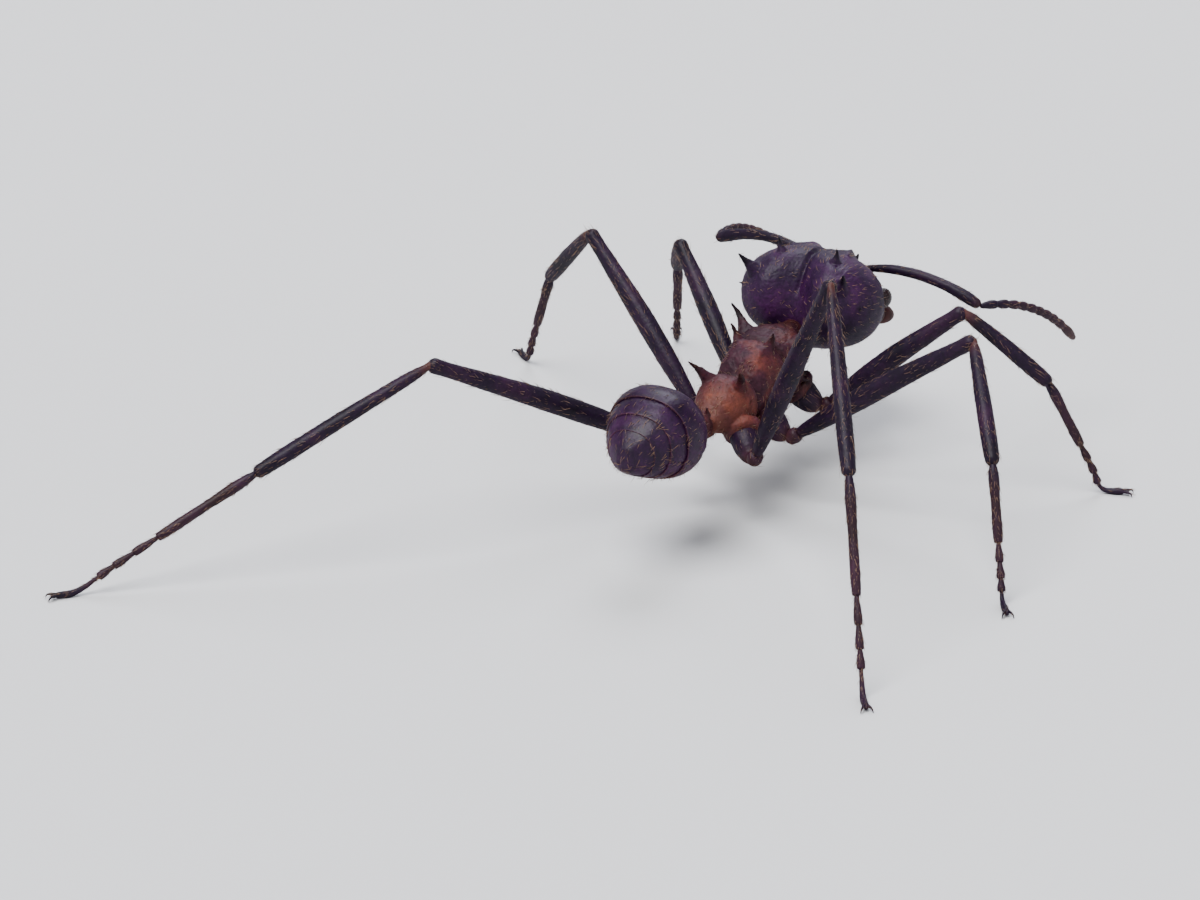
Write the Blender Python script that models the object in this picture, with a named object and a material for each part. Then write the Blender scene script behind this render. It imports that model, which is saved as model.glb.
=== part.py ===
"""A leafcutter ant worker (Atta) at life size, standing on six feet in mid-stride.

The ant faces -Y, its left side is at +X and it stands on the plane z = 0. Sizes and places are in
millimetres, in the ant's own frame: x = 0 is its middle plane, y = 0 the middle of its thorax.
Meshes are made in metres. At the end the whole ant is moved so that the origin is at the middle of
its outline, on the floor.
"""

import math

import bmesh
import bpy
from mathutils import Matrix, Vector

MM = 0.001

# How far apart neighbouring pieces stay.
GAP = 0.05

# Head: half sizes, place of its middle, and how far the face is tipped down.
HEAD_HALF = Vector((1.5, 1.32, 1.02))
HEAD_AT = Vector((0, -2.66, 3.13))
HEAD_PITCH = math.radians(20)
HEAD_GRID = 10
HEAD_FULLNESS = 0.91
EYE_GRID = 4
MUZZLE_NARROWING = 0.27
MUZZLE_FLATTENING = 0.36
NAPE_NOTCH_DEPTH = 0.5
NAPE_NOTCH_WIDTH = 0.48
FRONTAL_LOBE_AT = (0.38, -0.55)
FRONTAL_LOBE_SIZE = (0.20, 0.38)
FRONTAL_LOBE_RISE = 0.14
EYE_AT = Vector((1.29, -0.38, 0.22))
EYE_HALF = Vector((0.16, 0.23, 0.21))

# Spines: (where it grows from, which way it points, length, radius at the foot).
HEAD_SPINES = (
    (Vector((1.02, 1.0, 0.42)), Vector((0.45, 0.8, 0.55)), 0.42, 0.17),
    (Vector((0.62, 0.62, 0.86)), Vector((0.2, 0.45, 1.0)), 0.26, 0.13),
)
PRONOTUM_SPINES = (
    (Vector((0.60, -0.85, 2.93)), Vector((0.75, -0.35, 0.85)), 0.62, 0.19),
    (Vector((0.66, -0.75, 2.2)), Vector((1.0, -0.55, -0.35)), 0.28, 0.15),
)
MESOTHORAX_SPINES = ((Vector((0.34, -0.08, 3.0)), Vector((0.35, 0.05, 1.0)), 0.42, 0.16),)
PROPODEUM_SPINES = ((Vector((0.34, 1.12, 2.62)), Vector((0.42, 0.62, 0.85)), 0.66, 0.18),)
PETIOLE_SPINES = ((Vector((0.17, 2.16, 2.42)), Vector((0.4, 0.35, 1.0)), 0.18, 0.1),)
SPINE_SIDES = 8
# A spine's thickness along its length, as shares of the length and of the radius at its foot.
SPINE_TAPER = ((-0.2, 1.15), (0.0, 1.0), (0.5, 0.55), (1.0, 0.16))

# Body outline from neck to tail, as rows of (y, underside z, top z, half width).
THORAX = (
    (-1.80, 2.38, 2.94, 0.26),
    (-1.45, 2.28, 2.98, 0.34),
    (-1.15, 1.98, 3.06, 0.60),
    (-0.80, 1.74, 3.12, 0.76),
    (-0.35, 1.60, 3.08, 0.68),
    (0.05, 1.55, 3.10, 0.60),
    (0.38, 1.55, 2.96, 0.56),
    (0.62, 1.56, 2.68, 0.54),
    (0.95, 1.58, 2.76, 0.58),
    (1.30, 1.66, 2.70, 0.54),
    (1.62, 1.76, 2.46, 0.38),
    (1.84, 1.84, 2.22, 0.22),
)
THORAX_CUTS = (-0.42, 0.60)
PETIOLE = (
    (1.84, 1.86, 2.20, 0.20),
    (2.02, 1.84, 2.32, 0.25),
    (2.18, 1.82, 2.50, 0.29),
    (2.32, 1.86, 2.42, 0.26),
    (2.42, 1.94, 2.34, 0.22),
)
POSTPETIOLE = (
    (2.42, 1.94, 2.34, 0.22),
    (2.56, 1.86, 2.56, 0.38),
    (2.72, 1.86, 2.66, 0.44),
    (2.86, 1.92, 2.60, 0.38),
    (2.94, 2.0, 2.52, 0.28),
)
GASTER = (
    (2.94, 2.0, 2.54, 0.26),
    (3.08, 1.82, 2.96, 0.62),
    (3.38, 1.70, 3.36, 0.86),
    (3.80, 1.68, 3.54, 0.95),
    (4.25, 1.80, 3.44, 0.88),
    (4.62, 1.96, 3.20, 0.68),
    (4.90, 2.10, 2.94, 0.44),
    (5.08, 2.24, 2.70, 0.18),
)
GASTER_CUTS = (4.16, 4.54, 4.82)
BODY_SIDES = 20
RING_SPACING = 0.19
SECTION_POWER = 0.86

# Mandible: a toothed blade that swings in from the corner of the mouth.
JAW_AT = Vector((0.78, -1.02, -0.16))
JAW_LENGTH = 1.50
JAW_ROOT_WIDTH = 0.52
JAW_THICKNESS = 0.5
JAW_TIP_THINNING = 0.45
JAW_BASAL_CORNER = Vector((-0.32, -0.78, 0))
JAW_INNER_ROOT = Vector((-0.29, -0.12, 0))
JAW_TEETH = 7
JAW_TOOTH_DEPTH = 0.1
JAW_ARC_START = 8
JAW_ARC_STEPS = 6
JAW_SWING = math.radians(24)
# The blade's layers from its lower face up, as shares of its thickness and how far each is drawn in.
JAW_LAYERS = ((-0.5, 0.12), (-0.2, 0.0), (0.2, 0.0), (0.5, 0.12))

# Antennae: the socket on the head, then the elbow, the point that the outer length leans towards
# and the tip, in the ant's frame.
SOCKET_AT = Vector((0.44, -0.80, 0.66))
ANTENNAE = {
    "left": (Vector((3.05, -4.10, 3.30)), Vector((3.36, -5.60, 3.32)), Vector((2.95, -7.30, 1.85))),
    "right": (Vector((-3.20, -3.75, 3.20)), Vector((-3.92, -5.10, 3.09)), Vector((-3.85, -6.85, 1.50))),
}
FEELER_RADII = (0.25, 0.25)
SCAPE_ARCH = 0.56

# Legs. Each pair: hip on the thorax, end of the coxa, and the lengths of the long joints.
LEG_PAIRS = {
    "front": {
        "hip": Vector((0.42, -0.98, 1.95)),
        "trochanter": Vector((0.92, -1.28, 1.38)),
        "femur": 3.65,
        "tibia": 2.25,
        "tarsus": 2.80,
    },
    "mid": {
        "hip": Vector((0.38, 0.22, 1.80)),
        "trochanter": Vector((0.97, 0.22, 1.30)),
        "femur": 4.60,
        "tibia": 2.85,
        "tarsus": 3.00,
    },
    "hind": {
        "hip": Vector((0.38, 1.12, 1.85)),
        "trochanter": Vector((0.97, 1.68, 1.36)),
        "femur": 5.50,
        "tibia": 4.00,
        "tarsus": 4.50,
    },
}
# Each leg: how far back its femur points from straight out, how steeply it rises, both in degrees,
# and how far out and back its foot stands.
STANCE = {
    ("left", "front"): (-35.5, 36.0, 5.10, -6.05),
    ("left", "mid"): (-20.0, 40.0, 7.40, -3.40),
    ("left", "hind"): (50.5, 26.0, 9.03, 11.43),
    ("right", "front"): (-20.0, 39.5, 6.75, -3.30),
    ("right", "mid"): (-11.0, 35.0, 7.20, 2.90),
    ("right", "hind"): (30.0, 60.0, 6.75, 7.85),
}
COXA_RADII = (0.36, 0.30)
FEMUR_RADII = (0.25, 0.28, 0.29, 0.25)
TIBIA_RADII = (0.25, 0.25, 0.26, 0.25)
TARSUS_RADII = (0.25, 0.25)
LIMB_SIDES = 10
# Where the rings of a limb's round end lie, in degrees from its widest ring.
ROUND_END_ANGLES = (40, 72)
SOLE_DEPTH = 0.06
TOE_LENGTH = 0.45
TOE_RISE = 0.06
TOE_BEND_FROM = 0.85

MATERIALS = {
    "head_shell": ((0.075, 0.016, 0.030), 0.34),
    "thorax_shell": ((0.14, 0.030, 0.020), 0.38),
    "gaster_shell": ((0.17, 0.014, 0.035), 0.28),
    "leg_shell": ((0.060, 0.016, 0.028), 0.36),
    "eye": ((0.010, 0.008, 0.012), 0.15),
    "mandible": ((0.050, 0.012, 0.010), 0.25),
}


def clear_scene():
    for thing in list(bpy.data.objects):
        bpy.data.objects.remove(thing)


def shell_material(name):
    """The Principled material of that name, made once."""
    found = bpy.data.materials.get(name)
    if found:
        return found
    colour, roughness = MATERIALS[name]
    made = bpy.data.materials.new(name)
    made.use_nodes = True
    surface = made.node_tree.nodes["Principled BSDF"]
    surface.inputs["Base Color"].default_value = (*colour, 1)
    surface.inputs["Roughness"].default_value = roughness
    surface.inputs["Metallic"].default_value = 0
    return made


def solid(name, shape, material):
    """A new object from a bmesh whose vertices are in millimetres."""
    bmesh.ops.recalc_face_normals(shape, faces=shape.faces)
    bmesh.ops.scale(shape, vec=(MM, MM, MM), verts=shape.verts)
    mesh = bpy.data.meshes.new(name)
    shape.to_mesh(mesh)
    shape.free()
    mesh.shade_smooth()
    made = bpy.data.objects.new(name, mesh)
    bpy.context.collection.objects.link(made)
    mesh.materials.append(shell_material(material))
    return made


def settle(target):
    """Applies target's modifiers."""
    bpy.context.view_layer.update()
    seen = target.evaluated_get(bpy.context.evaluated_depsgraph_get())
    shaped = bpy.data.meshes.new_from_object(seen)
    target.modifiers.clear()
    spare, target.data = target.data, shaped
    bpy.data.meshes.remove(spare)


def combine(target, tool, operation):
    """Joins tool to target or cuts it away, and removes tool."""
    cut = target.modifiers.new(operation, "BOOLEAN")
    cut.operation = operation
    cut.solver = "EXACT"
    cut.object = tool
    settle(target)
    bpy.data.objects.remove(tool)


def part_from(target, *neighbours):
    """Cuts target back so that it stays GAP clear of each neighbour."""
    for neighbour in neighbours:
        tool = neighbour.copy()
        tool.data = neighbour.data.copy()
        bpy.context.collection.objects.link(tool)
        swell = tool.modifiers.new("Swell", "DISPLACE")
        swell.mid_level = 0
        swell.strength = GAP * MM
        settle(tool)
        combine(target, tool, "DIFFERENCE")


def on_side(side, point):
    """A point given for the left side, on that side or its mirror image."""
    return point.copy() if side == "left" else Vector((-point.x, point.y, point.z))


def smooth_rows(rows, at):
    """The row at position `at` of a smooth curve through rows, whose first value is position."""
    last = len(rows) - 1
    k = max(0, min(last - 1, sum(row[0] <= at for row in rows) - 1))

    def slope(i, column):
        low, high = max(i - 1, 0), min(i + 1, last)
        return (rows[high][column] - rows[low][column]) / (rows[high][0] - rows[low][0])

    span = rows[k + 1][0] - rows[k][0]
    t = (at - rows[k][0]) / span
    values = []
    for column in range(1, len(rows[0])):
        a, b = rows[k][column], rows[k + 1][column]
        values.append(
            (2 * t**3 - 3 * t**2 + 1) * a
            + (t**3 - 2 * t**2 + t) * span * slope(k, column)
            + (3 * t**2 - 2 * t**3) * b
            + (t**3 - t**2) * span * slope(k + 1, column)
        )
    return values


def signed_power(value, power):
    return math.copysign(abs(value) ** power, value)


def loft(rings):
    """A closed bmesh through rings of points, with a flat face at each end."""
    shape = bmesh.new()
    loops = [[shape.verts.new(point) for point in ring] for ring in rings]
    for near, far in zip(loops, loops[1:]):
        for i in range(len(near)):
            j = (i + 1) % len(near)
            shape.faces.new((near[i], near[j], far[j], far[i]))
    shape.faces.new(loops[0])
    shape.faces.new(loops[-1])
    return shape


def body_ring(outline, y):
    """A cross-section of the body at y."""
    bottom, top, half_width = smooth_rows(outline, y)
    middle, half_height = (bottom + top) / 2, (top - bottom) / 2
    ring = []
    for i in range(BODY_SIDES):
        angle = math.tau * i / BODY_SIDES
        x = half_width * signed_power(math.cos(angle), SECTION_POWER)
        z = middle + half_height * signed_power(math.sin(angle), SECTION_POWER)
        ring.append(Vector((x, y, z)))
    return ring


def body_length(name, outline, start, end, material):
    """The stretch of the body between two cuts."""
    steps = max(3, round((end - start) / RING_SPACING))
    places = [start + (end - start) * i / steps for i in range(steps + 1)]
    return solid(name, loft([body_ring(outline, y) for y in places]), material)


def cut_lengths(names, outline, cuts, material):
    """The body's stretches between its ends and the cuts, a gap apart."""
    edges = [outline[0][0], *cuts, outline[-1][0]]
    made = []
    for name, start, end in zip(names, edges, edges[1:]):
        made.append(body_length(name, outline, start + GAP / 2, end - GAP / 2, material))
    return made


def ring_round(centre, along, side, radius, sides):
    """Points on a circle square to along, the first of them towards side."""
    first = (side - along * side.dot(along)).normalized()
    second = along.cross(first)
    turns = [math.tau * i / sides for i in range(sides)]
    return [centre + radius * (math.cos(a) * first + math.sin(a) * second) for a in turns]


def tube(path, radii, sides):
    """A round-ended tube along points, with a radius at each."""
    last = len(path) - 1
    start_along = (path[1] - path[0]).normalized()
    end_along = (path[-1] - path[-2]).normalized()
    side = start_along.orthogonal()
    rings = []
    for angle in map(math.radians, reversed(ROUND_END_ANGLES)):
        centre = path[0] - start_along * radii[0] * math.sin(angle)
        rings.append(ring_round(centre, start_along, side, radii[0] * math.cos(angle), sides))
    for i, centre in enumerate(path):
        along = (path[min(i + 1, last)] - path[max(i - 1, 0)]).normalized()
        side = (side - along * side.dot(along)).normalized()
        rings.append(ring_round(centre, along, side, radii[i], sides))
    for angle in map(math.radians, ROUND_END_ANGLES):
        centre = path[-1] + end_along * radii[-1] * math.sin(angle)
        rings.append(ring_round(centre, end_along, side, radii[-1] * math.cos(angle), sides))
    return loft(rings)


def slice_off(shape, point, outward):
    """Cuts away what lies beyond a plane and closes the cut."""
    geometry = [*shape.verts, *shape.edges, *shape.faces]
    bmesh.ops.bisect_plane(
        shape, geom=geometry, plane_co=point, plane_no=outward, clear_outer=True, dist=1e-5
    )
    rim = [edge for edge in shape.edges if edge.is_boundary]
    bmesh.ops.holes_fill(shape, edges=rim, sides=0)
    return shape


def mitre(before, joint, after):
    """The plane between two lengths that meet at a joint, as its outward direction from the first."""
    return ((joint - before).normalized() + (after - joint).normalized()).normalized()


def spread(values, count):
    """count values read evenly along a short list."""
    found = []
    for i in range(count):
        at = (len(values) - 1) * i / (count - 1)
        low = min(int(at), len(values) - 2)
        found.append(values[low] + (values[low + 1] - values[low]) * (at - low))
    return found


def bow(start, pull, end, count):
    """count points on the smooth curve from start to end that leans towards pull."""
    found = []
    for i in range(count):
        t = i / (count - 1)
        found.append((1 - t) ** 2 * start + 2 * t * (1 - t) * pull + t**2 * end)
    return found


def add_spines(target, spines):
    """Joins a pair of spines, left and right, to target for each row."""
    for foot, direction, length, radius in spines:
        for side in ("left", "right"):
            root, along = on_side(side, foot), on_side(side, direction).normalized()
            path = [root + along * length * share for share, _ in SPINE_TAPER]
            radii = [radius * share for _, share in SPINE_TAPER]
            spine = solid("spine", tube(path, radii, SPINE_SIDES), "thorax_shell")
            spine.matrix_world = target.matrix_world
            combine(target, spine, "UNION")


def head_point(direction):
    """Where the head's surface lies in a direction from its middle: heart-shaped, narrower in front."""
    forward = max(0.0, -direction.y)
    backward = max(0.0, direction.y)
    x, y, z = (h * signed_power(d, HEAD_FULLNESS) for h, d in zip(HEAD_HALF, direction))
    x *= 1 - MUZZLE_NARROWING * forward**1.5
    z *= 1 - MUZZLE_FLATTENING * forward**1.5
    y -= NAPE_NOTCH_DEPTH * backward * math.exp(-((x / NAPE_NOTCH_WIDTH) ** 2))
    if direction.z > 0:
        aside = (abs(x) - FRONTAL_LOBE_AT[0]) / FRONTAL_LOBE_SIZE[0]
        ahead = (y - FRONTAL_LOBE_AT[1]) / FRONTAL_LOBE_SIZE[1]
        z += FRONTAL_LOBE_RISE * math.exp(-(aside**2) - ahead**2)
    return Vector((x, y, z))


def box_grid(steps):
    """A closed bmesh of even quads on the cube from -1 to 1."""
    shape = bmesh.new()
    bmesh.ops.create_cube(shape, size=2)
    bmesh.ops.subdivide_edges(shape, edges=shape.edges, cuts=steps - 1, use_grid_fill=True)
    return shape


def rounded(shape, surface):
    """Moves a cube's grid out to a surface given by direction from the middle."""
    for vertex in shape.verts:
        spread_even = Vector([math.tan(value * math.pi / 4) for value in vertex.co])
        vertex.co = surface(spread_even.normalized())
    return shape


def head_frame():
    return Matrix.Translation(HEAD_AT) @ Matrix.Rotation(HEAD_PITCH, 4, "X")


def in_metres(frame):
    """The same placing for meshes in metres."""
    moved = frame.copy()
    moved.translation *= MM
    return moved


def place(thing, frame):
    thing.matrix_world = in_metres(frame)
    bpy.context.view_layer.update()
    return thing


def make_eye(side):
    middle = on_side(side, EYE_AT)

    def surface(direction):
        return middle + Vector([a * b for a, b in zip(direction, EYE_HALF)])

    return place(solid(f"{side}_eye", rounded(box_grid(EYE_GRID), surface), "eye"), head_frame())


def jaw_outline():
    """The blade seen from above: a curved outer edge to the tip, then the teeth back to the root."""
    outer = []
    for i in range(JAW_ARC_STEPS + 1):
        turn = math.radians(JAW_ARC_START + (90 - JAW_ARC_START) * i / JAW_ARC_STEPS)
        outer.append(Vector((JAW_ROOT_WIDTH * math.cos(turn), -JAW_LENGTH * math.sin(turn), 0)))
    tip = outer[-1]
    teeth = []
    for i in range(1, 2 * JAW_TEETH):
        notch = Vector((JAW_TOOTH_DEPTH * (i % 2), 0, 0))
        teeth.append(tip.lerp(JAW_BASAL_CORNER, i / (2 * JAW_TEETH)) + notch)
    return [*outer, *teeth, JAW_BASAL_CORNER, JAW_INNER_ROOT]


def make_mandible(side):
    """A toothed blade with rounded faces that thins towards its tip."""
    layers = []
    for height, inset in JAW_LAYERS:
        layer = []
        for point in jaw_outline():
            thinning = 1 - JAW_TIP_THINNING * min(1.0, -point.y / JAW_LENGTH)
            drawn_in = point.lerp(Vector((0, -JAW_LENGTH / 2, 0)), inset)
            layer.append(drawn_in + Vector((0, 0, height * JAW_THICKNESS * thinning)))
        layers.append(layer)
    shape = loft(layers)
    ends = [face for face in shape.faces if len(face.verts) > 4]
    bmesh.ops.triangulate(shape, faces=ends)
    turn = Matrix.Translation(JAW_AT) @ Matrix.Rotation(-JAW_SWING, 4, "Z")
    bmesh.ops.transform(shape, matrix=turn, verts=shape.verts)
    for vertex in shape.verts:
        vertex.co = on_side(side, vertex.co)
    return place(solid(f"{side}_mandible", shape, "mandible"), head_frame())


def make_antenna(side, head):
    """The scape from the head to the elbow and the funiculus from the elbow to the tip."""
    elbow, lean, tip = ANTENNAE[side]
    socket = head_frame() @ on_side(side, SOCKET_AT)
    arch = (socket + elbow) / 2 + Vector((0, 0, SCAPE_ARCH))
    scape_path = bow(socket, arch, elbow, 6)
    funiculus_path = bow(elbow, lean, tip, 7)
    scape_end, funiculus_start = joint_faces(scape_path[-2], elbow, funiculus_path[1])
    scape = limb_piece(f"{side}_antenna_scape", scape_path, FEELER_RADII, [scape_end])
    part_from(scape, head)
    limb_piece(f"{side}_antenna_funiculus", funiculus_path, FEELER_RADII, [funiculus_start])


def make_head():
    head = place(solid("head", rounded(box_grid(HEAD_GRID), head_point), "head_shell"), head_frame())
    add_spines(head, HEAD_SPINES)
    eyes = [make_eye(side) for side in ("left", "right")]
    part_from(head, *eyes)
    for side in ("left", "right"):
        part_from(make_mandible(side), head)
        make_antenna(side, head)
    return head


def make_thorax(head):
    names = ("pronotum", "mesothorax", "propodeum")
    pieces = cut_lengths(names, THORAX, THORAX_CUTS, "thorax_shell")
    for piece, spines in zip(pieces, (PRONOTUM_SPINES, MESOTHORAX_SPINES, PROPODEUM_SPINES)):
        add_spines(piece, spines)
    part_from(pieces[0], head)
    return pieces


def make_waist_and_gaster():
    (petiole,) = cut_lengths(["petiole"], PETIOLE, (), "thorax_shell")
    add_spines(petiole, PETIOLE_SPINES)
    cut_lengths(["postpetiole"], POSTPETIOLE, (), "thorax_shell")
    names = [f"gaster_{number}" for number in range(1, len(GASTER_CUTS) + 2)]
    cut_lengths(names, GASTER, GASTER_CUTS, "gaster_shell")


def knee_of(pair, swing, rise):
    """The far end of the femur, for a leg on the left."""
    swing, rise = math.radians(swing), math.radians(rise)
    level = math.cos(rise)
    direction = Vector((math.cos(swing) * level, math.sin(swing) * level, math.sin(rise)))
    return pair["trochanter"] + direction * pair["femur"]


def ankle_of(knee, toe_root, tibia, tarsus):
    """The joint between knee and foot that keeps both lengths, standing out from the line between."""
    line = toe_root - knee
    reach = line.length
    along = line.normalized()
    run = (reach**2 + tibia**2 - tarsus**2) / (2 * reach)
    out = math.sqrt(max(0.0, tibia**2 - run**2))
    lift = Vector((0, 0, 1)) - along * along.z
    return knee + along * run + lift.normalized() * out


def leg_joints(side, pair_name):
    """The leg's joints from hip to toe: hip, trochanter, knee, ankle, toe root and toe."""
    pair = LEG_PAIRS[pair_name]
    swing, rise, out, back = STANCE[side, pair_name]
    knee = knee_of(pair, swing, rise)
    toe = Vector((out, back, TARSUS_RADII[-1] - SOLE_DEPTH))
    inward = Vector((knee.x - toe.x, knee.y - toe.y, 0)).normalized()
    toe_root = toe + inward * TOE_LENGTH + Vector((0, 0, TOE_RISE))
    ankle = ankle_of(knee, toe_root, pair["tibia"], pair["tarsus"] - TOE_LENGTH)
    joints = [pair["hip"], pair["trochanter"], knee, ankle, toe_root, toe]
    return [on_side(side, joint) for joint in joints]


def even_points(start, end, count):
    return [start.lerp(end, i / (count - 1)) for i in range(count)]


def joint_faces(before, joint, after):
    """The two mitred faces at a joint, half a gap to each side, as (point, outward direction)."""
    outward = mitre(before, joint, after)
    half_gap = outward * GAP / 2
    return (joint - half_gap, outward), (joint + half_gap, -outward)


def limb_piece(name, path, radii, faces):
    """A length of leg or feeler along points, cut off flat at each of its faces."""
    shape = tube(path, spread(radii, len(path)), LIMB_SIDES)
    for point, outward in faces:
        slice_off(shape, point, outward)
    return solid(name, shape, "leg_shell")


def make_leg(side, pair_name, thorax):
    """Coxa, femur with its trochanter, tibia, and tarsus with a flat sole on the floor."""
    hip, trochanter, knee, ankle, toe_root, toe = leg_joints(side, pair_name)
    name = f"{side}_{pair_name}"
    coxa_end, femur_start = joint_faces(hip, trochanter, knee)
    femur_end, tibia_start = joint_faces(trochanter, knee, ankle)
    tibia_end, tarsus_start = joint_faces(knee, ankle, toe_root)
    sole = (Vector((0, 0, 0)), Vector((0, 0, -1)))
    coxa = limb_piece(f"{name}_coxa", even_points(hip, trochanter, 3), COXA_RADII, [coxa_end])
    part_from(coxa, *thorax)
    femur_path = even_points(trochanter, knee, 4)
    limb_piece(f"{name}_femur", femur_path, FEMUR_RADII, [femur_start, femur_end])
    tibia_path = even_points(knee, ankle, 3)
    limb_piece(f"{name}_tibia", tibia_path, TIBIA_RADII, [tibia_start, tibia_end])
    bend_start = ankle.lerp(toe_root, TOE_BEND_FROM)
    tarsus_path = [ankle, ankle.lerp(bend_start, 0.5), *bow(bend_start, toe_root, toe, 4)]
    limb_piece(f"{name}_tarsus", tarsus_path, TARSUS_RADII, [tarsus_start, sole])


def stand_on_origin():
    """Moves the ant so that the origin is at the middle of its outline, on the floor."""
    bpy.context.view_layer.update()
    things = list(bpy.data.objects)
    points = [thing.matrix_world @ vertex.co for thing in things for vertex in thing.data.vertices]
    middle = Vector((0, 0, 0))
    for axis in (0, 1):
        places = [point[axis] for point in points]
        middle[axis] = (min(places) + max(places)) / 2
    for thing in things:
        thing.location -= middle


def main():
    clear_scene()
    head = make_head()
    thorax = make_thorax(head)
    make_waist_and_gaster()
    for side, pair_name in STANCE:
        make_leg(side, pair_name, thorax)
    stand_on_origin()


main()
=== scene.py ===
"""How the leafcutter ant looks: shell plates, compound eyes, toothed jaws, legs, feelers and hairs.

The ant faces -Y and its left side is at +X. Shapes are made in millimetres in the ant's own frame,
as its solids are: x = 0 is its middle plane, y = 0 the middle of its thorax, z = 0 the floor. They
are moved to the solids' place and turned into metres when an object is made of them. A shape is a
pair: an array of points and a list of faces.
"""

import math

import bmesh
import bpy
import numpy as np
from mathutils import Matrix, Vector, noise


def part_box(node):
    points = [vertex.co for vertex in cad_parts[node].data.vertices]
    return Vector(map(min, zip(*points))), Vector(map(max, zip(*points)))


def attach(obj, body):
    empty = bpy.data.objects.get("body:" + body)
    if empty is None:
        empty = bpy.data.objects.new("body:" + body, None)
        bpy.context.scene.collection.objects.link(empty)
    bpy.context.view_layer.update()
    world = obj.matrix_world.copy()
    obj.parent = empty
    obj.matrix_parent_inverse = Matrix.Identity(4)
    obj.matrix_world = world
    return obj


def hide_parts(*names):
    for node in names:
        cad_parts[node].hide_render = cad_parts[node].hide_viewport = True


MM = 0.001
GAP = 0.05
BOTH_SIDES = ("left", "right")

# -------- the ant's measures, as in the solids

HEAD_HALF = np.array((1.5, 1.32, 1.02))
HEAD_AT = np.array((0, -2.66, 3.13))
HEAD_PITCH = math.radians(20)
HEAD_FULLNESS = 0.91
MUZZLE_NARROWING = 0.27
MUZZLE_FLATTENING = 0.36
NAPE_NOTCH_DEPTH = 0.5
NAPE_NOTCH_WIDTH = 0.48
FRONTAL_LOBE_AT = (0.38, -0.55)
FRONTAL_LOBE_SIZE = (0.2, 0.38)
FRONTAL_LOBE_RISE = 0.14
EYE_AT = np.array((1.29, -0.38, 0.22))
EYE_HALF = np.array((0.16, 0.23, 0.21))

# Spines: (where it grows from, which way it points, length, radius at the foot).
HEAD_SPINES = (
    ((1.02, 1.0, 0.42), (0.45, 0.8, 0.55), 0.42, 0.13),
    ((0.62, 0.62, 0.86), (0.2, 0.45, 1.0), 0.26, 0.1),
    ((1.3, 0.62, 0.02), (1.0, 0.55, 0.05), 0.12, 0.07),
    ((0.47, -0.62, 0.86), (0.25, -0.15, 1.0), 0.14, 0.08),
)
THORAX_SPINES = (
    ((0.6, -0.85, 2.93), (0.75, -0.35, 0.85), 0.62, 0.14),
    ((0.66, -0.75, 2.2), (1.0, -0.55, -0.35), 0.28, 0.1),
    ((0.34, -0.08, 3.0), (0.35, 0.05, 1.0), 0.42, 0.12),
    ((0.34, 1.12, 2.62), (0.42, 0.62, 0.85), 0.66, 0.14),
)
PETIOLE_SPINES = (((0.17, 2.16, 2.42), (0.4, 0.35, 1.0), 0.16, 0.08),)

# Body outline from neck to tail, as rows of (y, underside z, top z, half width).
THORAX = (
    (-1.8, 2.38, 2.94, 0.26),
    (-1.45, 2.28, 2.98, 0.34),
    (-1.15, 1.98, 3.06, 0.6),
    (-0.8, 1.74, 3.12, 0.76),
    (-0.35, 1.6, 3.08, 0.68),
    (0.05, 1.55, 3.1, 0.6),
    (0.38, 1.55, 2.96, 0.56),
    (0.62, 1.56, 2.68, 0.54),
    (0.95, 1.58, 2.76, 0.58),
    (1.3, 1.66, 2.7, 0.54),
    (1.62, 1.76, 2.46, 0.38),
    (1.84, 1.84, 2.22, 0.22),
)
PETIOLE = (
    (1.84, 1.86, 2.2, 0.2),
    (2.02, 1.84, 2.32, 0.25),
    (2.18, 1.82, 2.5, 0.29),
    (2.32, 1.86, 2.42, 0.26),
    (2.42, 1.94, 2.34, 0.22),
)
POSTPETIOLE = (
    (2.42, 1.94, 2.34, 0.22),
    (2.56, 1.86, 2.56, 0.38),
    (2.72, 1.86, 2.66, 0.44),
    (2.86, 1.92, 2.6, 0.38),
    (2.94, 2.0, 2.52, 0.28),
)
GASTER = (
    (2.94, 2.0, 2.54, 0.26),
    (3.08, 1.82, 2.96, 0.62),
    (3.38, 1.7, 3.36, 0.86),
    (3.8, 1.68, 3.54, 0.95),
    (4.25, 1.8, 3.44, 0.88),
    (4.62, 1.96, 3.2, 0.68),
    (4.9, 2.1, 2.94, 0.44),
    (5.08, 2.24, 2.7, 0.18),
)
GASTER_EDGES = (2.94, 4.16, 4.54, 4.82, 5.08)
SECTION_POWER = 0.86

JAW_AT = np.array((0.78, -1.02, -0.16))
JAW_LENGTH = 1.5
JAW_ROOT_WIDTH = 0.52
JAW_THICKNESS = 0.5
JAW_SWING = math.radians(24)
JAW_TEETH = 8
JAW_BASE_REACH = 0.22
JAW_MARGIN_START = 0.5
JAW_ROOT_LINE = ((0.74, -0.72, -0.14), (0.84, -0.98, -0.17), (0.96, -1.26, -0.18))
JAW_ROOT_OUTLINE = ((0, 0.2), (0.45, 0.235), (1, 0.19))

SOCKET_AT = (0.44, -0.8, 0.66)
ANTENNAE = {
    "left": ((3.05, -4.1, 3.3), (3.36, -5.6, 3.32), (2.95, -7.3, 1.85)),
    "right": ((-3.2, -3.75, 3.2), (-3.92, -5.1, 3.09), (-3.85, -6.85, 1.5)),
}
SCAPE_ARCH = 0.56

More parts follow.
